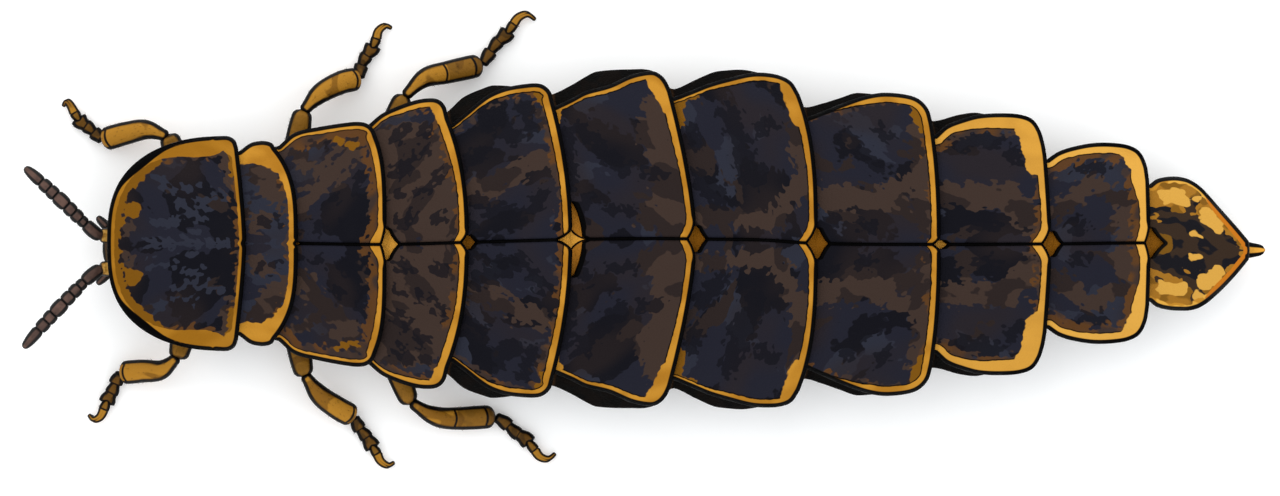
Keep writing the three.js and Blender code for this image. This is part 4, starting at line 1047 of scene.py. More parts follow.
# %% Section of the skin
def body_section(count):
    """Half a section from the belly's middle (first) over the flank to the roof's middle (last), in even
    steps: the share of the half width, the rise from the belly to the widest place, and the rise from there
    to the roof. The width is cos^(2/p) and the rise sin^(2/p) of an angle, with another power p in each
    half."""

    def half_section(turn):
        power = np.where(turn < 0, BELLY_POWER, ROOF_POWER)
        return np.abs(np.cos(turn)) ** (2 / power), np.abs(np.sin(turn)) ** (2 / power)

    turn = np.linspace(-np.pi / 2, np.pi / 2, 4001)
    out, rise = half_section(turn)
    height = np.where(turn < 0, -1.2 * rise, 0.9 * rise)
    path = np.concatenate([[0], np.cumsum(np.hypot(np.diff(out * 3), np.diff(height)))])
    even = np.interp(np.linspace(0, path[-1], count), path, turn)
    out, rise = half_section(even)
    out[[0, -1]] = 0.0
    return out, np.where(even < 0, 1 - rise, 1.0), np.where(even < 0, 0.0, rise)


def between_rims(stations, y):
    """x at y of each station: a whole number is the rim of a plate, and a fraction lies between two rims."""
    rims = np.stack([np.broadcast_to(NECK_X, y.shape)] + [rim_line(plate, y) for plate in PLATES])
    number = np.broadcast_to(np.clip(np.floor(stations).astype(int), 0, len(PLATES) - 1), y.shape)
    lower = np.take_along_axis(rims, number[None], 0)[0]
    upper = np.take_along_axis(rims, number[None] + 1, 0)[0]
    return lower + (upper - lower) * (stations - number)


print(f"middle of the fourth ring: x = {between_rims(np.array([3.5]), np.array([0.0]))[0]:.2f} mm")

# %% Rings of the skin
SKIN_SLANT = 0.08
ROOF_DEPTH = 0.40
ROOF_SWELL = 0.12
WIDEST_DEPTH = 0.46
WIDEST_SWELL_SHARE = 0.7
FOLD_LENGTH = 0.07
FOLD_IN_BELLY = 0.07
FOLD_IN_ROOF = 0.05
BELLY_ARCH = 0.02
CREASE_DEPTH = 0.09
CREASE_RISE = 0.26
NECK_Z = 1.18
NECK_SHARE = 0.25
TAIL_Z = 0.85
RING_COUNT = 430
HALF_RING_POINTS = 74


def body_points(stations, count):
    """Half rings of the skin. x lies between the rims of the plates, y is the half width times the share
    out, and z goes from the belly to the widest place and on to the roof. Bell curves of the distance to
    the nearest rim make the folds. At the neck and at the tail the rings close."""
    out, rise, roof_rise = body_section(count)
    s = stations[:, None]
    u = s - np.floor(s)
    fold = bell(np.minimum(u, 1 - u), FOLD_LENGTH) * ease(s, 0.5, 0.9) * (1 - ease(s, 10.3, 10.8))
    half = skin_half(between_rims(s, skin_half(between_rims(s, 0 * s + 2.8))) - SKIN_SLANT)
    y = half * out
    x = between_rims(s, y) - SKIN_SLANT
    belly = np.maximum(ring_belly(s) + FOLD_IN_BELLY * fold + BELLY_ARCH * bell(u - 0.5, 0.3), 0.0)
    swell = ROOF_SWELL * bell(u - 0.55, 0.22)
    widest = back_height(x, half) - WIDEST_DEPTH + WIDEST_SWELL_SHARE * swell
    roof = back_height(x, y) - ROOF_DEPTH - FOLD_IN_ROOF * fold + swell
    z = belly + (widest - belly) * rise + (roof - widest) * roof_rise
    crease = bell(rise - CREASE_RISE, 0.07) * ease(out, 0.6, 0.8) * (roof_rise == 0)
    y = y - CREASE_DEPTH * crease * ease(s, 2.6, 3.4) * (1 - ease(s, 9.8, 10.6))
    close = NECK_SHARE + (1 - NECK_SHARE) * ease(s, 0.0, 0.45)
    shut = 1 - 0.75 * ease(s, 10.62, 11.0)
    z = TAIL_Z + (z - TAIL_Z) * shut
    return x, y * close, NECK_Z + (z - NECK_Z) * close, fold + 0 * y, rise + 0 * y, roof_rise + 0 * y


def both_sides(grid, mirror=1):
    """Adds the other half of each ring, without the two points on the middle line."""
    return np.concatenate([grid, mirror * grid[:, -2:0:-1]], 1)


stations = np.linspace(0.02, len(PLATES) - 0.01, RING_COUNT)
x, y, z, fold, rise, roof_rise = body_points(stations, HALF_RING_POINTS)
x, z, fold, rise, roof_rise = [both_sides(grid) for grid in (x, z, fold, rise, roof_rise)]
y = both_sides(y, -1)
print(f"skin: {x.shape[0]} rings of {x.shape[1]} points, {z.max() - z.min():.2f} mm high")

# %% [markdown]
# Where the corners of two plates are cut back, the skin rises close under them and is ochre. Some of these
# stars are bright and others dull. A star could be a small sheet of its own, but it is only stretched skin,
# so the same surface is lifted there, and the mesh carries the star's own coordinates for the finish.

# %% Stars of skin between the plates
STAR_LIGHT = {"metanotum": 1.0, "tergite_2": 1.0, "tergite_5": 0.9}
DULL_STAR = 0.3
STAR_STRETCH = 2.5
LENS_STRETCH = (0.9, 0.7)
STAR_FORWARD = 0.04
STAR_RISE = 0.19
SKIN_WAVES = 0.010

membrane = np.zeros_like(x)
raised = np.zeros_like(x)
star_place = np.full((*x.shape, 3), 9.0)
for number, plate in enumerate(PLATES[1:-1]):
    behind = PLATES[number + 2]
    reach = behind.get("lens", plate["cut"])[1]
    along_body = 1 - ease(np.abs(x - plate["rim"]), 0.40, 0.50)
    over_body = 1 - ease(np.abs(y), reach + 0.05, reach + 0.2)
    near = along_body * over_body * ease(roof_rise, 0.5, 0.8)
    raised = np.maximum(raised, near)
    membrane = np.maximum(membrane, near * STAR_LIGHT.get(plate["name"], DULL_STAR))
    stretch = LENS_STRETCH if "lens" in behind else STAR_STRETCH
    depth, half_width = np.array(plate["cut"][:2]) * stretch
    local = np.stack([(x - plate["rim"] + STAR_FORWARD) / depth, y / half_width, 0 * x], -1)
    star_place = np.where(near[..., None] > 0, local, star_place)
z = z + STAR_RISE * raised
z = z + SKIN_WAVES * ripple(x, y, 0.5, 31) * roof_rise
body_rings = np.stack([x, y + aside(x), z], -1)
print(f"stars: {len(PLATES) - 2}, of which {len(STAR_LIGHT)} are bright")

# %% [markdown]
# The skin's finish is matt and wrinkled: brown low on the flanks, nearly black higher up under the plates as
# painted shade, and paler in the folds, which have a darker painted-shade copy higher up too. The stars are
# ochre, inside a thin dark line that follows x^0.7 + y^0.7 = 1, and the belly near the tail is cream. They
# could be painted by their place alone, but folds and stars bend with the rims, so each of them is a number
# on the mesh that turns its colour on.

# %% Finish of the skin
PAINTED_SHADE_DARK = (0.0012, 0.0010, 0.0009)
PAINTED_SHADE_LIGHT = (0.0040, 0.0026, 0.0020)
FLANK_DARK = (0.0150, 0.0090, 0.0068)
FLANK_LIGHT = (0.0420, 0.0235, 0.0150)
FOLD_PAINTED_SHADE = (0.040, 0.018, 0.006)
FOLD_LIGHT = (0.150, 0.080, 0.040)
STAR_DULL_OCHRE = (0.25, 0.092, 0.005)
STAR_OCHRE = (0.74, 0.345, 0.045)
STAR_SURROUND = (0.46, 0.180, 0.018)
GLOW_CREAM = (0.52, 0.42, 0.22)
STAR_POWER = 0.7


def skin_finish():
    """The colours from the lowest to the uppermost: the painted shade high up or the flank's brown low down,
    the folds with their own painted shade, the stars with their dark line, the cream of the belly near the
    tail, and the dark contour of the tail's tip."""
    finish = Finish("soft_brown_skin")
    place = finish.place()
    fine = finish.noise(place, scale=3.0, detail=4.0, rough=0.6)
    # Painted shade: the skin high up under the plates gets these near-black colours, the lower flank its
    # brown, and lit chooses between them.
    shade = finish.choose(fine, 0.4, 0.62, PAINTED_SHADE_DARK, PAINTED_SHADE_LIGHT)
    flank = finish.choose(fine, 0.4, 0.62, FLANK_DARK, FLANK_LIGHT)
    colour = finish.mix(finish.attribute("lit"), shade, flank)
    ragged = finish.ragged(place, scale=6.0, detail=3.0, size=0.3)
    folds = finish.math("ADD", finish.attribute("fold"), ragged)
    # The folds also have a darker copy, which is painted shade higher up.
    fold_colour = finish.mix(finish.attribute("lit"), FOLD_PAINTED_SHADE, FOLD_LIGHT)
    colour = finish.choose(folds, 0.55, 0.95, colour, fold_colour)

    membrane = finish.attribute("membrane")
    ochre = finish.choose(membrane, 0.3, 0.9, STAR_DULL_OCHRE, STAR_OCHRE)
    off = finish.separate(finish.vector("ABSOLUTE", finish.attribute("star", "Vector")))
    along_star, over_star = [finish.math("POWER", value, STAR_POWER) for value in off[:2]]
    reach = finish.math("ADD", along_star, over_star)
    ochre = finish.choose(reach, 1.0, 1.1, ochre, INK)
    ochre = finish.choose(reach, 1.25, 1.35, ochre, STAR_SURROUND)
    colour = finish.choose(membrane, 0.05, 0.2, colour, ochre)
    colour = finish.mix(finish.attribute("glow"), colour, GLOW_CREAM)
    colour = finish.mix(finish.attribute("contour"), colour, INK)

    stretched = finish.vector("MULTIPLY", place, (7.0, 1.6, 3.0))
    wrinkles = finish.bump(finish.noise(stretched, scale=1.0, detail=3.0), depth=0.05)
    relief = finish.bump(finish.cells(place, scale=22.0), 0.01, wrinkles)
    rough = finish.step(fine, 0.35, 0.65, bottom=0.5, top=0.68)
    return finish.done(colour, rough, relief, Specular_IOR_Level=0.03)


belly_share = (1 - ease(np.abs(y), 1.1, 1.9)) * (1 - ease(rise, 0.02, 0.15))
glow = belly_share * ease(x, 6.3, 6.7) * (1 - ease(x, 10.5, 10.8))
# lit is 1 low on the flanks and 0 higher up, where the skin is painted in shade.
lit = 1 - ease(rise, 0.45, 0.85)
skin_part = closed_tube(
    body_rings, fold=fold, membrane=membrane, glow=glow, lit=lit, contour=0 * x, star=star_place
)
print(f"skin: {body_rings.shape[0]} rings of {body_rings.shape[1]} points")

# %% [markdown]
# Tubes make the rest of the animal: the tail's tip, the head, the feelers and the legs. A curve object with
# a bevel would give round tubes too, but here they can be oval, blunt at their ends and closed, and each
# point knows where on the tube it is.


# %% Tubes along a path
def rounded(count, start, end):
    """Widths of a tube of count rings, as shares: a quarter circle closes it over the first share, start,
    and the last share, end."""
    t = np.linspace(0, 1, count)
    head = np.sqrt(1 - (1 - np.clip(t / start, 0, 1)) ** 2)
    foot = np.sqrt(1 - (1 - np.clip((1 - t) / end, 0, 1)) ** 2)
    return t, head * foot


def path_length(points):
    """The length of the straight steps through points."""
    return np.linalg.norm(np.diff(np.array(points, float), axis=0), axis=1).sum()


def along(points, t):
    """A smooth path through points, by its share t of the way."""
    points = np.array(points, float)
    reach = np.concatenate([[0], np.cumsum(np.linalg.norm(np.diff(points, axis=0), axis=1))])
    reach = reach / reach[-1]
    return np.stack([smooth_through(np.stack([reach, points[:, k]], -1))(t) for k in range(3)], -1)


def unit(vectors):
    """The same directions, each 1 long."""
    return vectors / np.linalg.norm(vectors, axis=-1, keepdims=True)


def circle(count):
    """count even angles once round."""
    return np.linspace(0, 2 * np.pi, count, endpoint=False)


def tube_rings(path, width, height=None, around=24):
    """Rings of points across a path: ovals of the given width, level, and height, upright. A point is the
    path's place, plus cos of its angle times half the width sideways, plus sin times half the height up."""
    height = width if height is None else height
    forward = unit(np.gradient(path, axis=0))
    level = unit(np.cross([0.0, 0.0, 1.0], forward))
    upward = np.cross(forward, level)
    turn = circle(around)
    out = (width / 2)[:, None, None] * np.cos(turn)[None, :, None] * level[:, None]
    lift = (height / 2)[:, None, None] * np.sin(turn)[None, :, None] * upward[:, None]
    return path[:, None] + out + lift


print("widths of a tube of seven rings:", rounded(7, 0.4, 0.2)[1].round(2))

# %% [markdown]
# The abdomen ends in a small soft cone that sticks out behind the last plate. The long skin could be drawn
# out into it, but its rings follow the rims of the plates and end at the last one. So the cone is a short
# tube of its own, which starts inside the skin and shares its finish.

# %% Tail tip and body skin
TIP_POINTS = [[12.3, TAIL_ASIDE * 0.7, 0.72], [13.1, TAIL_ASIDE, 0.8], [TAIL_X, TAIL_ASIDE, 0.82]]
TIP_WIDTHS = [[0, 0.5], [0.6, 0.38], [1, 0.2]]
TIP_AROUND = 40

t, closing = rounded(24, 0.2, 0.12)
tip_rings = tube_rings(along(TIP_POINTS, t), closing * smooth_through(TIP_WIDTHS)(t), around=TIP_AROUND)
turn = circle(TIP_AROUND)
blank = np.zeros(tip_rings.shape[:2])
tip_flank = ease(np.abs(np.cos(turn)), 0.3, 0.45) * ease(np.sin(turn), -0.2, 0.0) + 0 * blank
tip_part = closed_tube(
    tip_rings, fold=blank, membrane=blank + 1, glow=blank, lit=blank, contour=tip_flank,
    star=np.zeros((*blank.shape, 3)),
)
new_piece("body_skin", [skin_part, tip_part], skin_finish(), RING_NAMES)

# %% [markdown]
# The light organs are two pale, waxy panels in the belly near the tail. They could be painted on the skin,
# but they stand a little proud of it. So they are flat pillows with a rounded square outline: a tube whose
# flat rings follow a superellipse.

# %% Light organs
ORGAN_CREAM = (0.78, 0.66, 0.38)
ORGAN_PALE_CREAM = (0.88, 0.82, 0.60)
ORGANS = [
    {"node": "light_organ_6", "front": 6.7, "rear": 8.2, "half": 1.4, "under": 0.03},
    {"node": "light_organ_7", "front": 9.1, "rear": 10.5, "half": 1.05, "under": 0.12},
]
ORGAN_THICK = 0.3
ORGAN_EDGE = 0.18
SQUARE_POWER = 0.55


def organ_finish():
    """Two creams that a soft noise mixes, over a low relief."""
    finish = Finish("pale_light_organ")
    place = finish.place()
    cloudy = finish.noise(place, scale=2.5, detail=4.0, rough=0.6)
    colour = finish.choose(cloudy, 0.35, 0.65, ORGAN_CREAM, ORGAN_PALE_CREAM)
    relief = finish.bump(finish.noise(place, scale=9.0, detail=3.0), depth=0.03)
    return finish.done(colour, 0.55, relief, Subsurface_Weight=0.15, Subsurface_Scale=0.0004)


def rounded_square(value):
    """Moves the points of a circle out to a square with round corners: a power of the size, with the same
    sign."""
    return np.sign(value) * np.abs(value) ** SQUARE_POWER


organ_material = organ_finish()
for organ in ORGANS:
    share, closing = rounded(15, 0.5, 0.5)
    turn = circle(72)
    middle_x = (organ["front"] + organ["rear"]) / 2
    half_x = (organ["rear"] - organ["front"]) / 2
    spread = 1 - ORGAN_EDGE + ORGAN_EDGE * closing
    spread[[0, -1]] = 0.0
    rings = np.stack([
        middle_x + half_x * spread[:, None] * rounded_square(np.cos(turn)),
        organ["half"] * spread[:, None] * rounded_square(np.sin(turn)),
        organ["under"] + ORGAN_THICK * share[:, None] + 0 * turn,
    ], -1)
    new_piece(organ["node"] + "_panel", [closed_tube(rings)], organ_material, [organ["node"]])

# %% [markdown]
# Legs and feelers carry short stiff hairs, too fine for the measured model. A particle system could grow
# them, but they would not be part of the mesh. So each is a thin three-sided spike that leans towards
# the far end of its tube, and they only show from close by.

# %% Hairs
HAIR_RADIUS = 0.0065
HAIR_ROOT = 0.015
HAIR_FLOOR = 0.01


def hairs(rings, count, length, dice, **values):
    """Spikes at random places of a tube: a small triangle just under the surface, and a tip that leans
    forward, 0.6 outwards to 0.8 along the tube. values are constant attributes."""
    middle = rings.mean(1)
    forward = unit(np.gradient(middle, axis=0))
    row = dice.integers(3, len(rings) - 3, count)
    root = rings[row, dice.integers(0, rings.shape[1], count)]
    out = unit(root - middle[row])
    lean = unit(0.6 * out + 0.8 * forward[row])
    side = unit(np.cross(lean, out))
    third = np.cross(lean, side)
    corners = [
        root - HAIR_ROOT * out + HAIR_RADIUS * (math.cos(turn) * side + math.sin(turn) * third)
        for turn in (0, 2 * math.pi / 3, 4 * math.pi / 3)
    ]
    tip = root + lean * (length * dice.uniform(0.7, 1.2, count))[:, None]
    points = np.stack([*corners, tip], 1).reshape(-1, 3)
    points[:, 2] = np.maximum(points[:, 2], HAIR_FLOOR)
    shape = np.array([[0, 1, 3, -1], [1, 2, 3, -1], [2, 0, 3, -1], [0, 2, 1, -1]])
    faces = np.where(shape >= 0, shape + 4 * np.arange(count)[:, None, None], -1).reshape(-1, 4)
    part = {"points": points, "faces": faces}
    return part | {key: np.full(len(points), value) for key, value in values.items()}


print(f"hairs: {2 * HAIR_RADIUS:.3f} mm thick")

# %% [markdown]
# Most of the head hides under the shield. Only the dark upper lip, the ochre sockets of the feelers and the
# mouth feelers show from above, but from the side there is a whole head: a rounded capsule with faceted
# eyes, a pair of curved jaws and the neck. It could be sculpted from one ball, but its parts are hard and
# meet in clear lines, so each is a closed tube.

# %% Finish of the head
HORN_DARK = (0.0120, 0.0070, 0.0050)
HORN_LIGHT = (0.040, 0.022, 0.014)
SOCKET_OCHRE = (0.36, 0.165, 0.018)
SOCKET_PALE_OCHRE = (0.60, 0.32, 0.060)


def head_finish():
    """Dark horn, with ochre on the sockets and a little of it on the lip, and the ink of the contour."""
    finish = Finish("head_horn")
    place = finish.place()
    colour = finish.choose(finish.noise(place, 4.0, 3.0), 0.35, 0.65, HORN_DARK, HORN_LIGHT)
    ochre = finish.choose(finish.noise(place, 9.0, 1.0), 0.4, 0.6, SOCKET_OCHRE, SOCKET_PALE_OCHRE)
    colour = finish.mix(finish.attribute("ochre"), colour, ochre)
    colour = finish.mix(finish.attribute("contour"), colour, INK)
    relief = finish.bump(finish.cells(place, scale=24.0), depth=0.008)
    return finish.done(colour, 0.4, relief, Specular_IOR_Level=0.18)


def head_part(rings, ochre=0.0, contour=0.0):
    """A closed tube of the head, with contour from 0 to 1 where its flanks and its far end are dark."""
    sideways = np.abs(np.cos(circle(rings.shape[1])))[None, :]
    front = bell(np.linspace(1, 0, len(rings))[:, None], 0.16)
    flank = contour * np.maximum(ease(sideways, 0.72, 0.86), ease(front, 0.3, 0.6))
    return closed_tube(rings, ochre=np.full(rings.shape[:2], ochre), contour=flank)


head_material = head_finish()

# %% Head capsule and mouth
CAPSULE_POINTS = [[-11.42, HEAD_Y, 1.02], [-10.85, HEAD_Y, 1.06], [-10.2, HEAD_Y * 0.5, 1.15]]
CAPSULE_WIDTHS = [[0, 1.15], [0.4, 1.34], [0.7, 1.1], [1, 0.9]]
CAPSULE_HEIGHTS = [[0, 0.8], [0.4, 0.98], [0.7, 0.9], [1, 0.8]]
CAPSULE_AROUND = 64
DIP_BETWEEN_EYES = 0.05
LIP_POINTS = [[-11.05, HEAD_Y, 0.84], [-11.3, HEAD_Y, 0.82], [NOSE_X - 0.045, HEAD_Y - 0.02, 0.78]]
LIP_WIDTH, LIP_THICK = 0.58, 0.15
# Of each place of the right jaw: x, the distance from the head's middle, and the height
JAW_POINTS = [[-11.05, 0.24, 0.66], [-11.3, 0.25, 0.60], [-11.45, 0.15, 0.58], [-11.49, 0.02, 0.58]]
SOCKET_X, SOCKET_Z = -11.51, 1.2
SOCKET_AIM = np.array([-0.9, 0.0, 0.3])
SOCKET_WIDTH = 0.36

t, closing = rounded(44, 0.42, 0.08)
capsule_width = closing * smooth_through(CAPSULE_WIDTHS)(t)
capsule_height = closing * smooth_through(CAPSULE_HEIGHTS)(t)
capsule = tube_rings(along(CAPSULE_POINTS, t), capsule_width, capsule_height, CAPSULE_AROUND)
upward_share = bell(circle(CAPSULE_AROUND) - np.pi / 2, 0.35)[None, :]
capsule[..., 2] -= DIP_BETWEEN_EYES * upward_share * bell(t - 0.25, 0.25)[:, None]

t, closing = rounded(40, 0.3, 0.2)
lip = tube_rings(along(LIP_POINTS, t), LIP_WIDTH * closing, LIP_THICK * closing, 60)


def jaw_rings(side):
    """A jaw that curves inward and narrows to its tip."""
    share, closing = rounded(26, 0.15, 0.1)
    path = along([[x, HEAD_Y + out * side, z] for x, out, z in JAW_POINTS], share)
    return tube_rings(path, closing * (0.24 - 0.18 * share), closing * (0.2 - 0.14 * share), 20)


def socket_rings(y):
    """A short thick ring in which a feeler sits."""
    share, closing = rounded(24, 0.4, 0.3)
    base = np.array([SOCKET_X, y, SOCKET_Z])
    path = along([base - 0.16 * SOCKET_AIM, base + 0.14 * SOCKET_AIM], share)
    width = SOCKET_WIDTH * closing * (1 - 0.2 * share)
    return tube_rings(path, width, 0.8 * width, 40)


FEELERS = {
    "antenna_right": [[-11.59, 0.17, 1.24], [-11.70, 0.22, 1.32], [-11.9, 0.40, 1.42], [-12.37, 0.86, 1.5],
                      [-12.8, 1.26, 1.44], [-13.23, 1.64, 1.3]],
    "antenna_left": [[-11.59, -0.54, 1.24], [-11.70, -0.61, 1.32], [-11.9, -0.78, 1.42],
                     [-12.35, -1.24, 1.5], [-12.85, -1.78, 1.44], [-13.26, -2.25, 1.3]],
}
head_parts = [head_part(capsule), head_part(lip, ochre=0.12, contour=1.0)]
head_parts += [head_part(jaw_rings(side)) for side in (-1, 1)]
head_parts += [head_part(socket_rings(points[0][1]), ochre=1.0, contour=1.0) for points in FEELERS.values()]
new_piece("head_capsule", head_parts, head_material, ["head"])

# %% [markdown]
# Each eye is a small black ball of some hundred lenses. A bump pattern could draw them, but it would be
# drawn out at the poles. So 420 places are spread evenly over a ball, each a golden angle on from the last,
# and the surface bulges round the nearest of them.

# %% Faceted eyes
EYE_DARK = (0.006, 0.005, 0.006)
EYE_SHEEN = (0.020, 0.014, 0.012)
EYE_HALF = np.array([0.28, 0.24, 0.28])
EYE_X, EYE_Y, EYE_Z = -10.92, 0.56, 1.10
FACETS = 420
GOLDEN_ANGLE = np.pi * (3 - np.sqrt(5))


def eye_finish():
    """Near black with a faint brown sheen. It is smoother than the other finishes, so the facets glint."""
    finish = Finish("black_faceted_eye")
    place = finish.place()
    colour = finish.choose(finish.noise(place, scale=6.0, detail=2.0), 0.4, 0.6, EYE_DARK, EYE_SHEEN)
    relief = finish.bump(finish.noise(place, scale=40.0, detail=1.0), depth=0.002)
    return finish.done(colour, 0.26, relief, Specular_IOR_Level=0.25)


eye_material = eye_finish()
facet_number = np.arange(FACETS)
facet_z = 1 - 2 * (facet_number + 0.5) / FACETS
facet_turn = facet_number * GOLDEN_ANGLE
facet_out = np.sqrt(1 - facet_z**2)
facets = np.stack([facet_out * np.cos(facet_turn), facet_out * np.sin(facet_turn), facet_z], -1)
tilt = np.linspace(0, np.pi, 90)[:, None]
turn = circle(150)[None, :]
ball = np.stack([np.sin(tilt) * np.cos(turn), np.sin(tilt) * np.sin(turn), np.cos(tilt) + 0 * turn], -1)
closeness = (ball.reshape(-1, 3) @ facets.T).max(1).reshape(ball.shape[:2])
facet_dome = 1 - np.arccos(np.clip(closeness, -1, 1)) ** 2 * 4
for side, name in ((-1, "eye_left"), (1, "eye_right")):
    middle = np.array([EYE_X, HEAD_Y + side * EYE_Y, EYE_Z])
    eye = middle + ball * EYE_HALF * (0.95 + 0.03 * facet_dome[..., None])
    new_piece(name + "_lens", [closed_tube(eye[::-1])], eye_material, [name])

# %% [markdown]
# A feeler is a string of eight joints, as many as the picture shows. Each joint is a small barrel with blunt
# ends that touches the next. The first and the last are long, and the last is a slim cone. One tube with
# waists would be simpler, but then the dark lines between the joints would lie on soft slopes. The mouth
# feelers have three joints of the same kind.

# %% Finish and joints of the feelers
FEELER_DARK = (0.062, 0.034, 0.026)
FEELER_LIGHT = (0.105, 0.056, 0.042)
JOINT_LAP = 0.02
JOINT_SLIMMING = 0.38


def feeler_finish():
    """Two browns that a soft noise mixes, and the ink of the contour."""
    finish = Finish("feeler_brown")
    place = finish.place()
    colour = finish.choose(finish.noise(place, 5.0, 3.0), 0.35, 0.65, FEELER_DARK, FEELER_LIGHT)
    colour = finish.mix(finish.attribute("contour"), colour, INK)
    relief = finish.bump(finish.cells(place, scale=30.0), depth=0.006)
    return finish.done(colour, 0.6, relief, Specular_IOR_Level=0.2)


def barrel(share):
    """Width of a joint at a share of its length: blunt at both ends, and a little wider in the middle."""
    ends = (1 - np.abs(2 * share - 1) ** 7) ** 0.5
    return ends * (0.90 + 0.12 * np.sin(np.pi * share))


def beads(points, lengths, widths, dice, around=40, rings_each=26):
    """Joints along a path as closed tubes, each lapped a little over the next. lengths are their shares of
    the path. The contour is dark at both ends and along the upper flanks."""
    borders = np.concatenate([[0], np.cumsum(lengths)]) / np.sum(lengths)
    full_length = path_length(points)
    lap = JOINT_LAP / full_length
    share = np.linspace(0, 1, rings_each)
    turn = circle(around)
    parts = []
    for start, end, width in zip(borders[:-1], borders[1:], widths):
        first, last = max(start - lap, 0.0), min(end + lap, 1.0)
        path = along(points, first + (last - first) * share)
        slim = 1 - JOINT_SLIMMING * share**1.5 if end == borders[-1] else 1
        rings = tube_rings(path, width * barrel(share) * slim, around=around)
        reach = (last - first) * full_length
        from_end = np.minimum(share, 1 - share) * reach
        ends = 1 - ease(from_end, JOINT_LAP + 0.018, JOINT_LAP + 0.032)[:, None]
        sides = 1 - ease(width / 2 * (1 - np.abs(np.cos(turn))), 0.070, 0.088)[None, :]
        sides = sides * ease(np.sin(turn), -0.2, 0.0)[None, :]
        parts.append(closed_tube(rings, contour=np.maximum(ends + 0 * sides, sides + 0 * ends)))
        parts.append(hairs(rings, 14, 0.05, dice, contour=0.6))
    return parts


feeler_material = feeler_finish()
print("width of a joint along its length:", barrel(np.linspace(0, 1, 7)).round(2))

# %% Make the feelers
ANTENNA_LENGTHS = [19, 6, 8, 8.5, 13, 8, 9, 21]
ANTENNA_WIDTHS = [0.30, 0.25, 0.29, 0.30, 0.32, 0.30, 0.29, 0.28]
# Of each place of the right mouth feeler: x, the distance from the head's middle, and the height
PALP_POINTS = [[-11.26, 0.40, 0.70], [-11.47, 0.51, 0.70], [-11.70, 0.73, 0.62]]
PALP_LENGTHS = [3, 3, 9]
PALP_WIDTHS = [0.19, 0.20, 0.22]

dice = np.random.default_rng(7)
for name, points in FEELERS.items():
    parts = beads(points, ANTENNA_LENGTHS, ANTENNA_WIDTHS, dice)
    new_piece(name + "_joints", parts, feeler_material, [name])
for side, name in ((-1, "palp_left"), (1, "palp_right")):
    points = [[x, HEAD_Y + out * side, z] for x, out, z in PALP_POINTS]
    parts = beads(points, PALP_LENGTHS, PALP_WIDTHS, dice)
    new_piece(name + "_joints", parts, feeler_material, [name])

# %% [markdown]
# A leg has a hip cone, a thigh that shows as a short stub beside the body, a shin that widens from the
# narrow knee to its end, a foot of four joints and a pair of hooked claws. It could be one skin over bones,
# but a beetle's leg is a row of hard shells, so all of them are tubes along the paths that the picture shows
# from above. Heights fall from the knee to the floor. The picture gives every part of a leg a dark contour,
# so the finish darkens the upper flanks and the ends of the tubes, with a ring where a piece of the shin
# ends, and keeps the ochre on top.

# %% Finish of the legs
LEG_OCHRE = (0.215, 0.092, 0.007)
LEG_PALE_OCHRE = (0.370, 0.168, 0.015)
DUSK_DARK = (0.052, 0.024, 0.004)
DUSK_LIGHT = (0.105, 0.046, 0.006)


def leg_finish():
    """The colours from the lowest to the uppermost: streaks of two ochres, dark brown dusk and the ink."""
    finish = Finish("leg_ochre")
    place = finish.place()
    streaks = finish.noise(place, scale=1.7, detail=1.5, rough=0.5, bend=0.4)
    colour = finish.choose(streaks, 0.38, 0.43, LEG_OCHRE, LEG_PALE_OCHRE)
    dusk = finish.choose(finish.noise(place, 3.0, 1.0), 0.42, 0.5, DUSK_DARK, DUSK_LIGHT)
    colour = finish.mix(finish.attribute("dusk"), colour, dusk)
    colour = finish.mix(finish.attribute("contour"), colour, INK)
    dents = finish.bump(finish.noise(place, scale=7.0, detail=4.0, rough=0.6), depth=0.02)
    relief = finish.bump(finish.cells(place, scale=26.0), 0.006, dents)
    rough = finish.step(streaks, 0.3, 0.7, bottom=0.40, top=0.54)
    return finish.done(colour, rough, relief, Specular_IOR_Level=0.08)


leg_material = leg_finish()

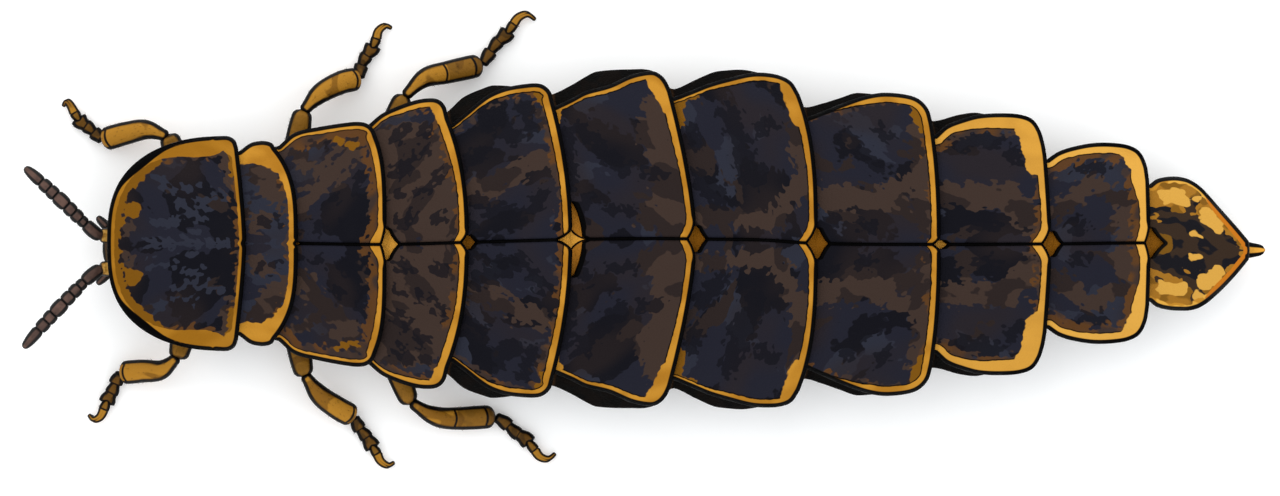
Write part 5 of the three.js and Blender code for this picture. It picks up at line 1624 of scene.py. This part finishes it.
# %% Paths of the legs
LEGS = [
    {"name": "leg_front_right", "hip": [-9.5, 0.6], "knee": [-10.16, 2.30],
     "shin": [[-10.63, 2.45], [-11.06, 2.38], [-11.60, 2.23]],
     "foot": [[-11.75, 2.37], [-11.9, 2.5], [-12.07, 2.63]],
     "claw": [[-12.2, 2.8], [-12.27, 2.95], [-12.36, 3.06], [-12.43, 2.97]]},
    {"name": "leg_front_left", "hip": [-9.5, -0.6], "knee": [-9.95, -2.44],
     "shin": [[-10.31, -2.72], [-10.74, -2.75], [-11.20, -2.79]],
     "foot": [[-11.3, -2.97], [-11.39, -3.19], [-11.48, -3.36]],
     "claw": [[-11.56, -3.56], [-11.65, -3.74], [-11.78, -3.80], [-11.88, -3.70]]},
    {"name": "leg_middle_right", "hip": [-7.7, 0.62], "knee": [-7.25, 2.84],
     "shin": [[-6.9, 3.22], [-6.44, 3.47], [-6.05, 3.56]],
     "foot": [[-6.02, 3.81], [-5.92, 4.02], [-5.78, 4.22]],
     "claw": [[-5.69, 4.40], [-5.64, 4.59], [-5.50, 4.70], [-5.38, 4.65]]},
    {"name": "leg_middle_left", "hip": [-7.7, -0.62], "knee": [-7.22, -2.82],
     "shin": [[-6.9, -3.26], [-6.51, -3.55], [-6.17, -3.74]],
     "foot": [[-6.06, -3.98], [-5.93, -4.14], [-5.8, -4.34]],
     "claw": [[-5.68, -4.52], [-5.59, -4.70], [-5.44, -4.79], [-5.32, -4.73]]},
    {"name": "leg_hind_right", "hip": [-6.1, 0.68], "knee": [-5.07, 3.16],
     "shin": [[-4.64, 3.56], [-4.15, 3.69], [-3.40, 3.86]],
     "foot": [[-3.25, 4.1], [-3.09, 4.32], [-2.9, 4.5]],
     "claw": [[-2.74, 4.72], [-2.62, 4.88], [-2.44, 4.95], [-2.27, 4.84]]},
    {"name": "leg_hind_left", "hip": [-6.1, -0.68], "knee": [-4.93, -3.42],
     "shin": [[-4.51, -3.68], [-4.12, -3.77], [-3.12, -3.73]],
     "foot": [[-2.9, -3.88], [-2.68, -4.08], [-2.47, -4.22]],
     "claw": [[-2.28, -4.44], [-2.16, -4.60], [-1.99, -4.65], [-1.84, -4.54]]},
]
KNEE_HEIGHT = 0.95
ANKLE_HEIGHT = 0.30
FOOT_HEIGHT = 0.15
shin_lengths = [round(math.dist(leg["knee"], leg["shin"][-1]), 2) for leg in LEGS]
print("shins from knee to ankle, in mm:", shin_lengths)


# %% One tube of a leg
def leg_part(path, width, height, dusk, around, lobes, rings_of_ink):
    """One tube of a leg. dusk is how dark brown it is, and lobes splits its far end in two. The contour is
    drawn along the upper flanks, at the ends, and at rings_of_ink: shares of the length where one piece of
    the leg ends."""
    rings = tube_rings(path, width, height, around)
    turn = circle(around)
    sideways = np.cos(turn)[None, :]
    share = np.linspace(0, 1, len(path))[:, None]
    length = path_length(path)
    notch = lobes * ease(share, 0.6, 1.0) * bell(sideways, 0.4) * (height > 0)[:, None]
    rings = rings - notch[..., None] * unit(path[-1] - path[0])
    inward = np.maximum(width, 0.02)[:, None] / 2 * (1 - np.abs(sideways))
    line = np.minimum(0.078, 0.27 * width.max())
    contour = (1 - ease(inward, line - 0.012, line + 0.012)) * ease(np.sin(turn), -0.2, 0.0)[None, :]
    contour = np.maximum(contour, 1 - ease(np.minimum(share, 1 - share) * length, 0.035, 0.055))
    for place in rings_of_ink:
        bowed = (share - place) * length + 0.07 * sideways**2
        contour = np.maximum(contour, 1 - ease(np.abs(bowed), 0.020, 0.036))
    dusk = np.broadcast_to(dusk, (len(path), 1)) + 0 * sideways
    return closed_tube(rings, contour=contour, dusk=dusk), rings


def grow(parts, path, width, height, dusk, dice, around=44, lobes=0.0, hair_count=0, rings_of_ink=()):
    """Adds a tube of a leg to parts, and its hairs."""
    part, rings = leg_part(path, width, height, dusk, around, lobes, rings_of_ink)
    parts.append(part)
    if hair_count:
        parts.append(hairs(rings, hair_count, 0.07, dice, contour=0.4, dusk=1.0))


# %% Pieces of a leg
HIP_HEIGHT = 0.52
THIGH_WIDTHS = [[0, 0.34], [0.45, 0.54], [0.8, 0.50], [1, 0.40]]
SHIN_WIDTHS = [[0, 0.24], [0.12, 0.28], [0.35, 0.43], [0.6, 0.49], [0.85, 0.51], [1, 0.48]]
SHIN_END = 0.90
HIND_SHIN_MIDDLE = 0.56
# start and end as shares of the foot, width, and how far the end is split in two
FOOT_JOINTS = [(0.0, 0.34, 0.31, 0), (0.29, 0.58, 0.30, 0), (0.52, 0.83, 0.36, 0.06), (0.72, 1.0, 0.23, 0)]
CLAW_HEIGHTS = (FOOT_HEIGHT, 0.17, 0.15, 0.07)
CLAW_APART = 0.025


def grow_hip_and_thigh(parts, leg, dice):
    """The hip is a short cone down from the body, and the thigh goes on from it to just past the knee."""
    hip_x, hip_y = leg["hip"]
    knee_x, knee_y = leg["knee"]
    outward = np.sign(hip_y)
    t, closing = rounded(22, 0.35, 0.35)
    path = along([[hip_x - 0.1, hip_y - 0.1 * outward, 0.75], [hip_x + 0.05, hip_y + 0.4 * outward, 0.5]], t)
    grow(parts, path, 0.62 * closing, 0.6 * closing, 0.75, dice, hair_count=20)

    t, closing = rounded(44, 0.2, 0.07)
    path = along([
        [hip_x, hip_y + 0.25 * outward, HIP_HEIGHT], [(hip_x + knee_x) / 2, (hip_y + knee_y) / 2, 0.78],
        [knee_x, knee_y + 0.06 * outward, KNEE_HEIGHT],
    ], t)
    width = closing * smooth_through(THIGH_WIDTHS)(t)
    grow(parts, path, width, width * 0.85, 0.55, dice, hair_count=60)


def grow_shin(parts, leg, dice):
    """The shin falls in three even steps from the knee to the ankle. Its end is a darker piece, and so is
    the outer half of a hind shin."""
    t, closing = rounded(150, 0.05, 0.09)
    top = KNEE_HEIGHT + 0.05
    heights = top + (ANKLE_HEIGHT - KNEE_HEIGHT - 0.05) * np.arange(1, 4) / 3
    points = [[*place, height] for place, height in zip(leg["shin"], heights)]
    path = along([[*leg["knee"], KNEE_HEIGHT + 0.08]] + points, t)
    width = closing * smooth_through(SHIN_WIDTHS)(t)
    dusk = 0.25 * ease(t, 0.895, 0.905)
    rings_of_ink = (SHIN_END,)
    if "hind" in leg["name"]:
        dusk = 0.62 * ease(t, 0.575, 0.585) + dusk
        rings_of_ink = (HIND_SHIN_MIDDLE, SHIN_END)
    grow(parts, path, width, width * 0.8, dusk[:, None], dice, hair_count=90, rings_of_ink=rings_of_ink)


def grow_foot(parts, leg, dice):
    """Four joints along the foot, from the ankle to the root of the claws, and two claws side by side."""
    claw = leg["claw"]
    root = np.array(claw[0])
    heading = unit(np.array(claw[1]) - root)
    foot_points = [[*leg["shin"][-1], ANKLE_HEIGHT - 0.05]]
    foot_points += [[*place, FOOT_HEIGHT] for place in leg["foot"]]
    foot_points += [[*(root + 0.05 * heading), FOOT_HEIGHT + 0.02]]
    for start, end, width, lobes in FOOT_JOINTS:
        t, closing = rounded(34, 0.12, 0.14)
        path = along(foot_points, start + (end - start) * t)
        joint_width = closing * width * (0.74 + 0.26 * ease(t, 0.1, 0.7))
        dusk = 0.6 if end == 1.0 else 0.95
        grow(parts, path, joint_width, joint_width * 0.7, dusk, dice, 36, lobes, hair_count=8)

    sideways = np.array([-heading[1], heading[0]])
    for side in (-1, 1):
        t, closing = rounded(36, 0.10, 0.06)
        offset = CLAW_APART * side * sideways
        path = along([[*(np.array(place) + offset), height] for place, height in zip(claw, CLAW_HEIGHTS)], t)
        grow(parts, path, closing * (0.18 - 0.09 * t), closing * (0.15 - 0.08 * t), 0.0, dice, 32)


foot_lengths = [path_length([leg["shin"][-1], *leg["foot"], leg["claw"][0]]) for leg in LEGS]
print("feet from ankle to claws, in mm:", np.round(foot_lengths, 2))

# %% Make the legs
for leg in LEGS:
    parts = []
    grow_hip_and_thigh(parts, leg, dice)
    grow_shin(parts, leg, dice)
    grow_foot(parts, leg, dice)
    new_piece(leg["name"].replace("leg_", "") + "_leg", parts, leg_material, [leg["name"]])

# %% [markdown]
# The floor is a wide plain sheet of paper. White paper that only reflects would show grey in its shadows, so
# it also shines a little by itself, as if on a faintly lit table, which keeps the shadow pale. It isn't part
# of the animal.

# %% Floor
FLOOR_HALF = 2
PAPER = (0.92, 0.92, 0.915)
PALE_PAPER = (0.94, 0.94, 0.938)
corners = [(x, y, 0) for x, y in ((-1, -1), (1, -1), (1, 1), (-1, 1))]
floor_mesh = bpy.data.meshes.new("floor")
floor_mesh.from_pydata((np.array(corners) * FLOOR_HALF).tolist(), [], [(0, 1, 2, 3)])
floor = bpy.data.objects.new("floor", floor_mesh)
bpy.context.scene.collection.objects.link(floor)
floor_finish = Finish("pale_paper")
fibres = floor_finish.noise(floor_finish.place(), scale=0.6, detail=3.0)
paper = floor_finish.choose(fibres, 0.3, 0.7, PAPER, PALE_PAPER)
floor_finish.shader.inputs["Emission Color"].default_value = (1.0, 1.0, 1.0, 1.0)
floor_mesh.materials.append(floor_finish.done(paper, 0.9, Emission_Strength=0.14))
print(f"floor: {2 * FLOOR_HALF} m square")
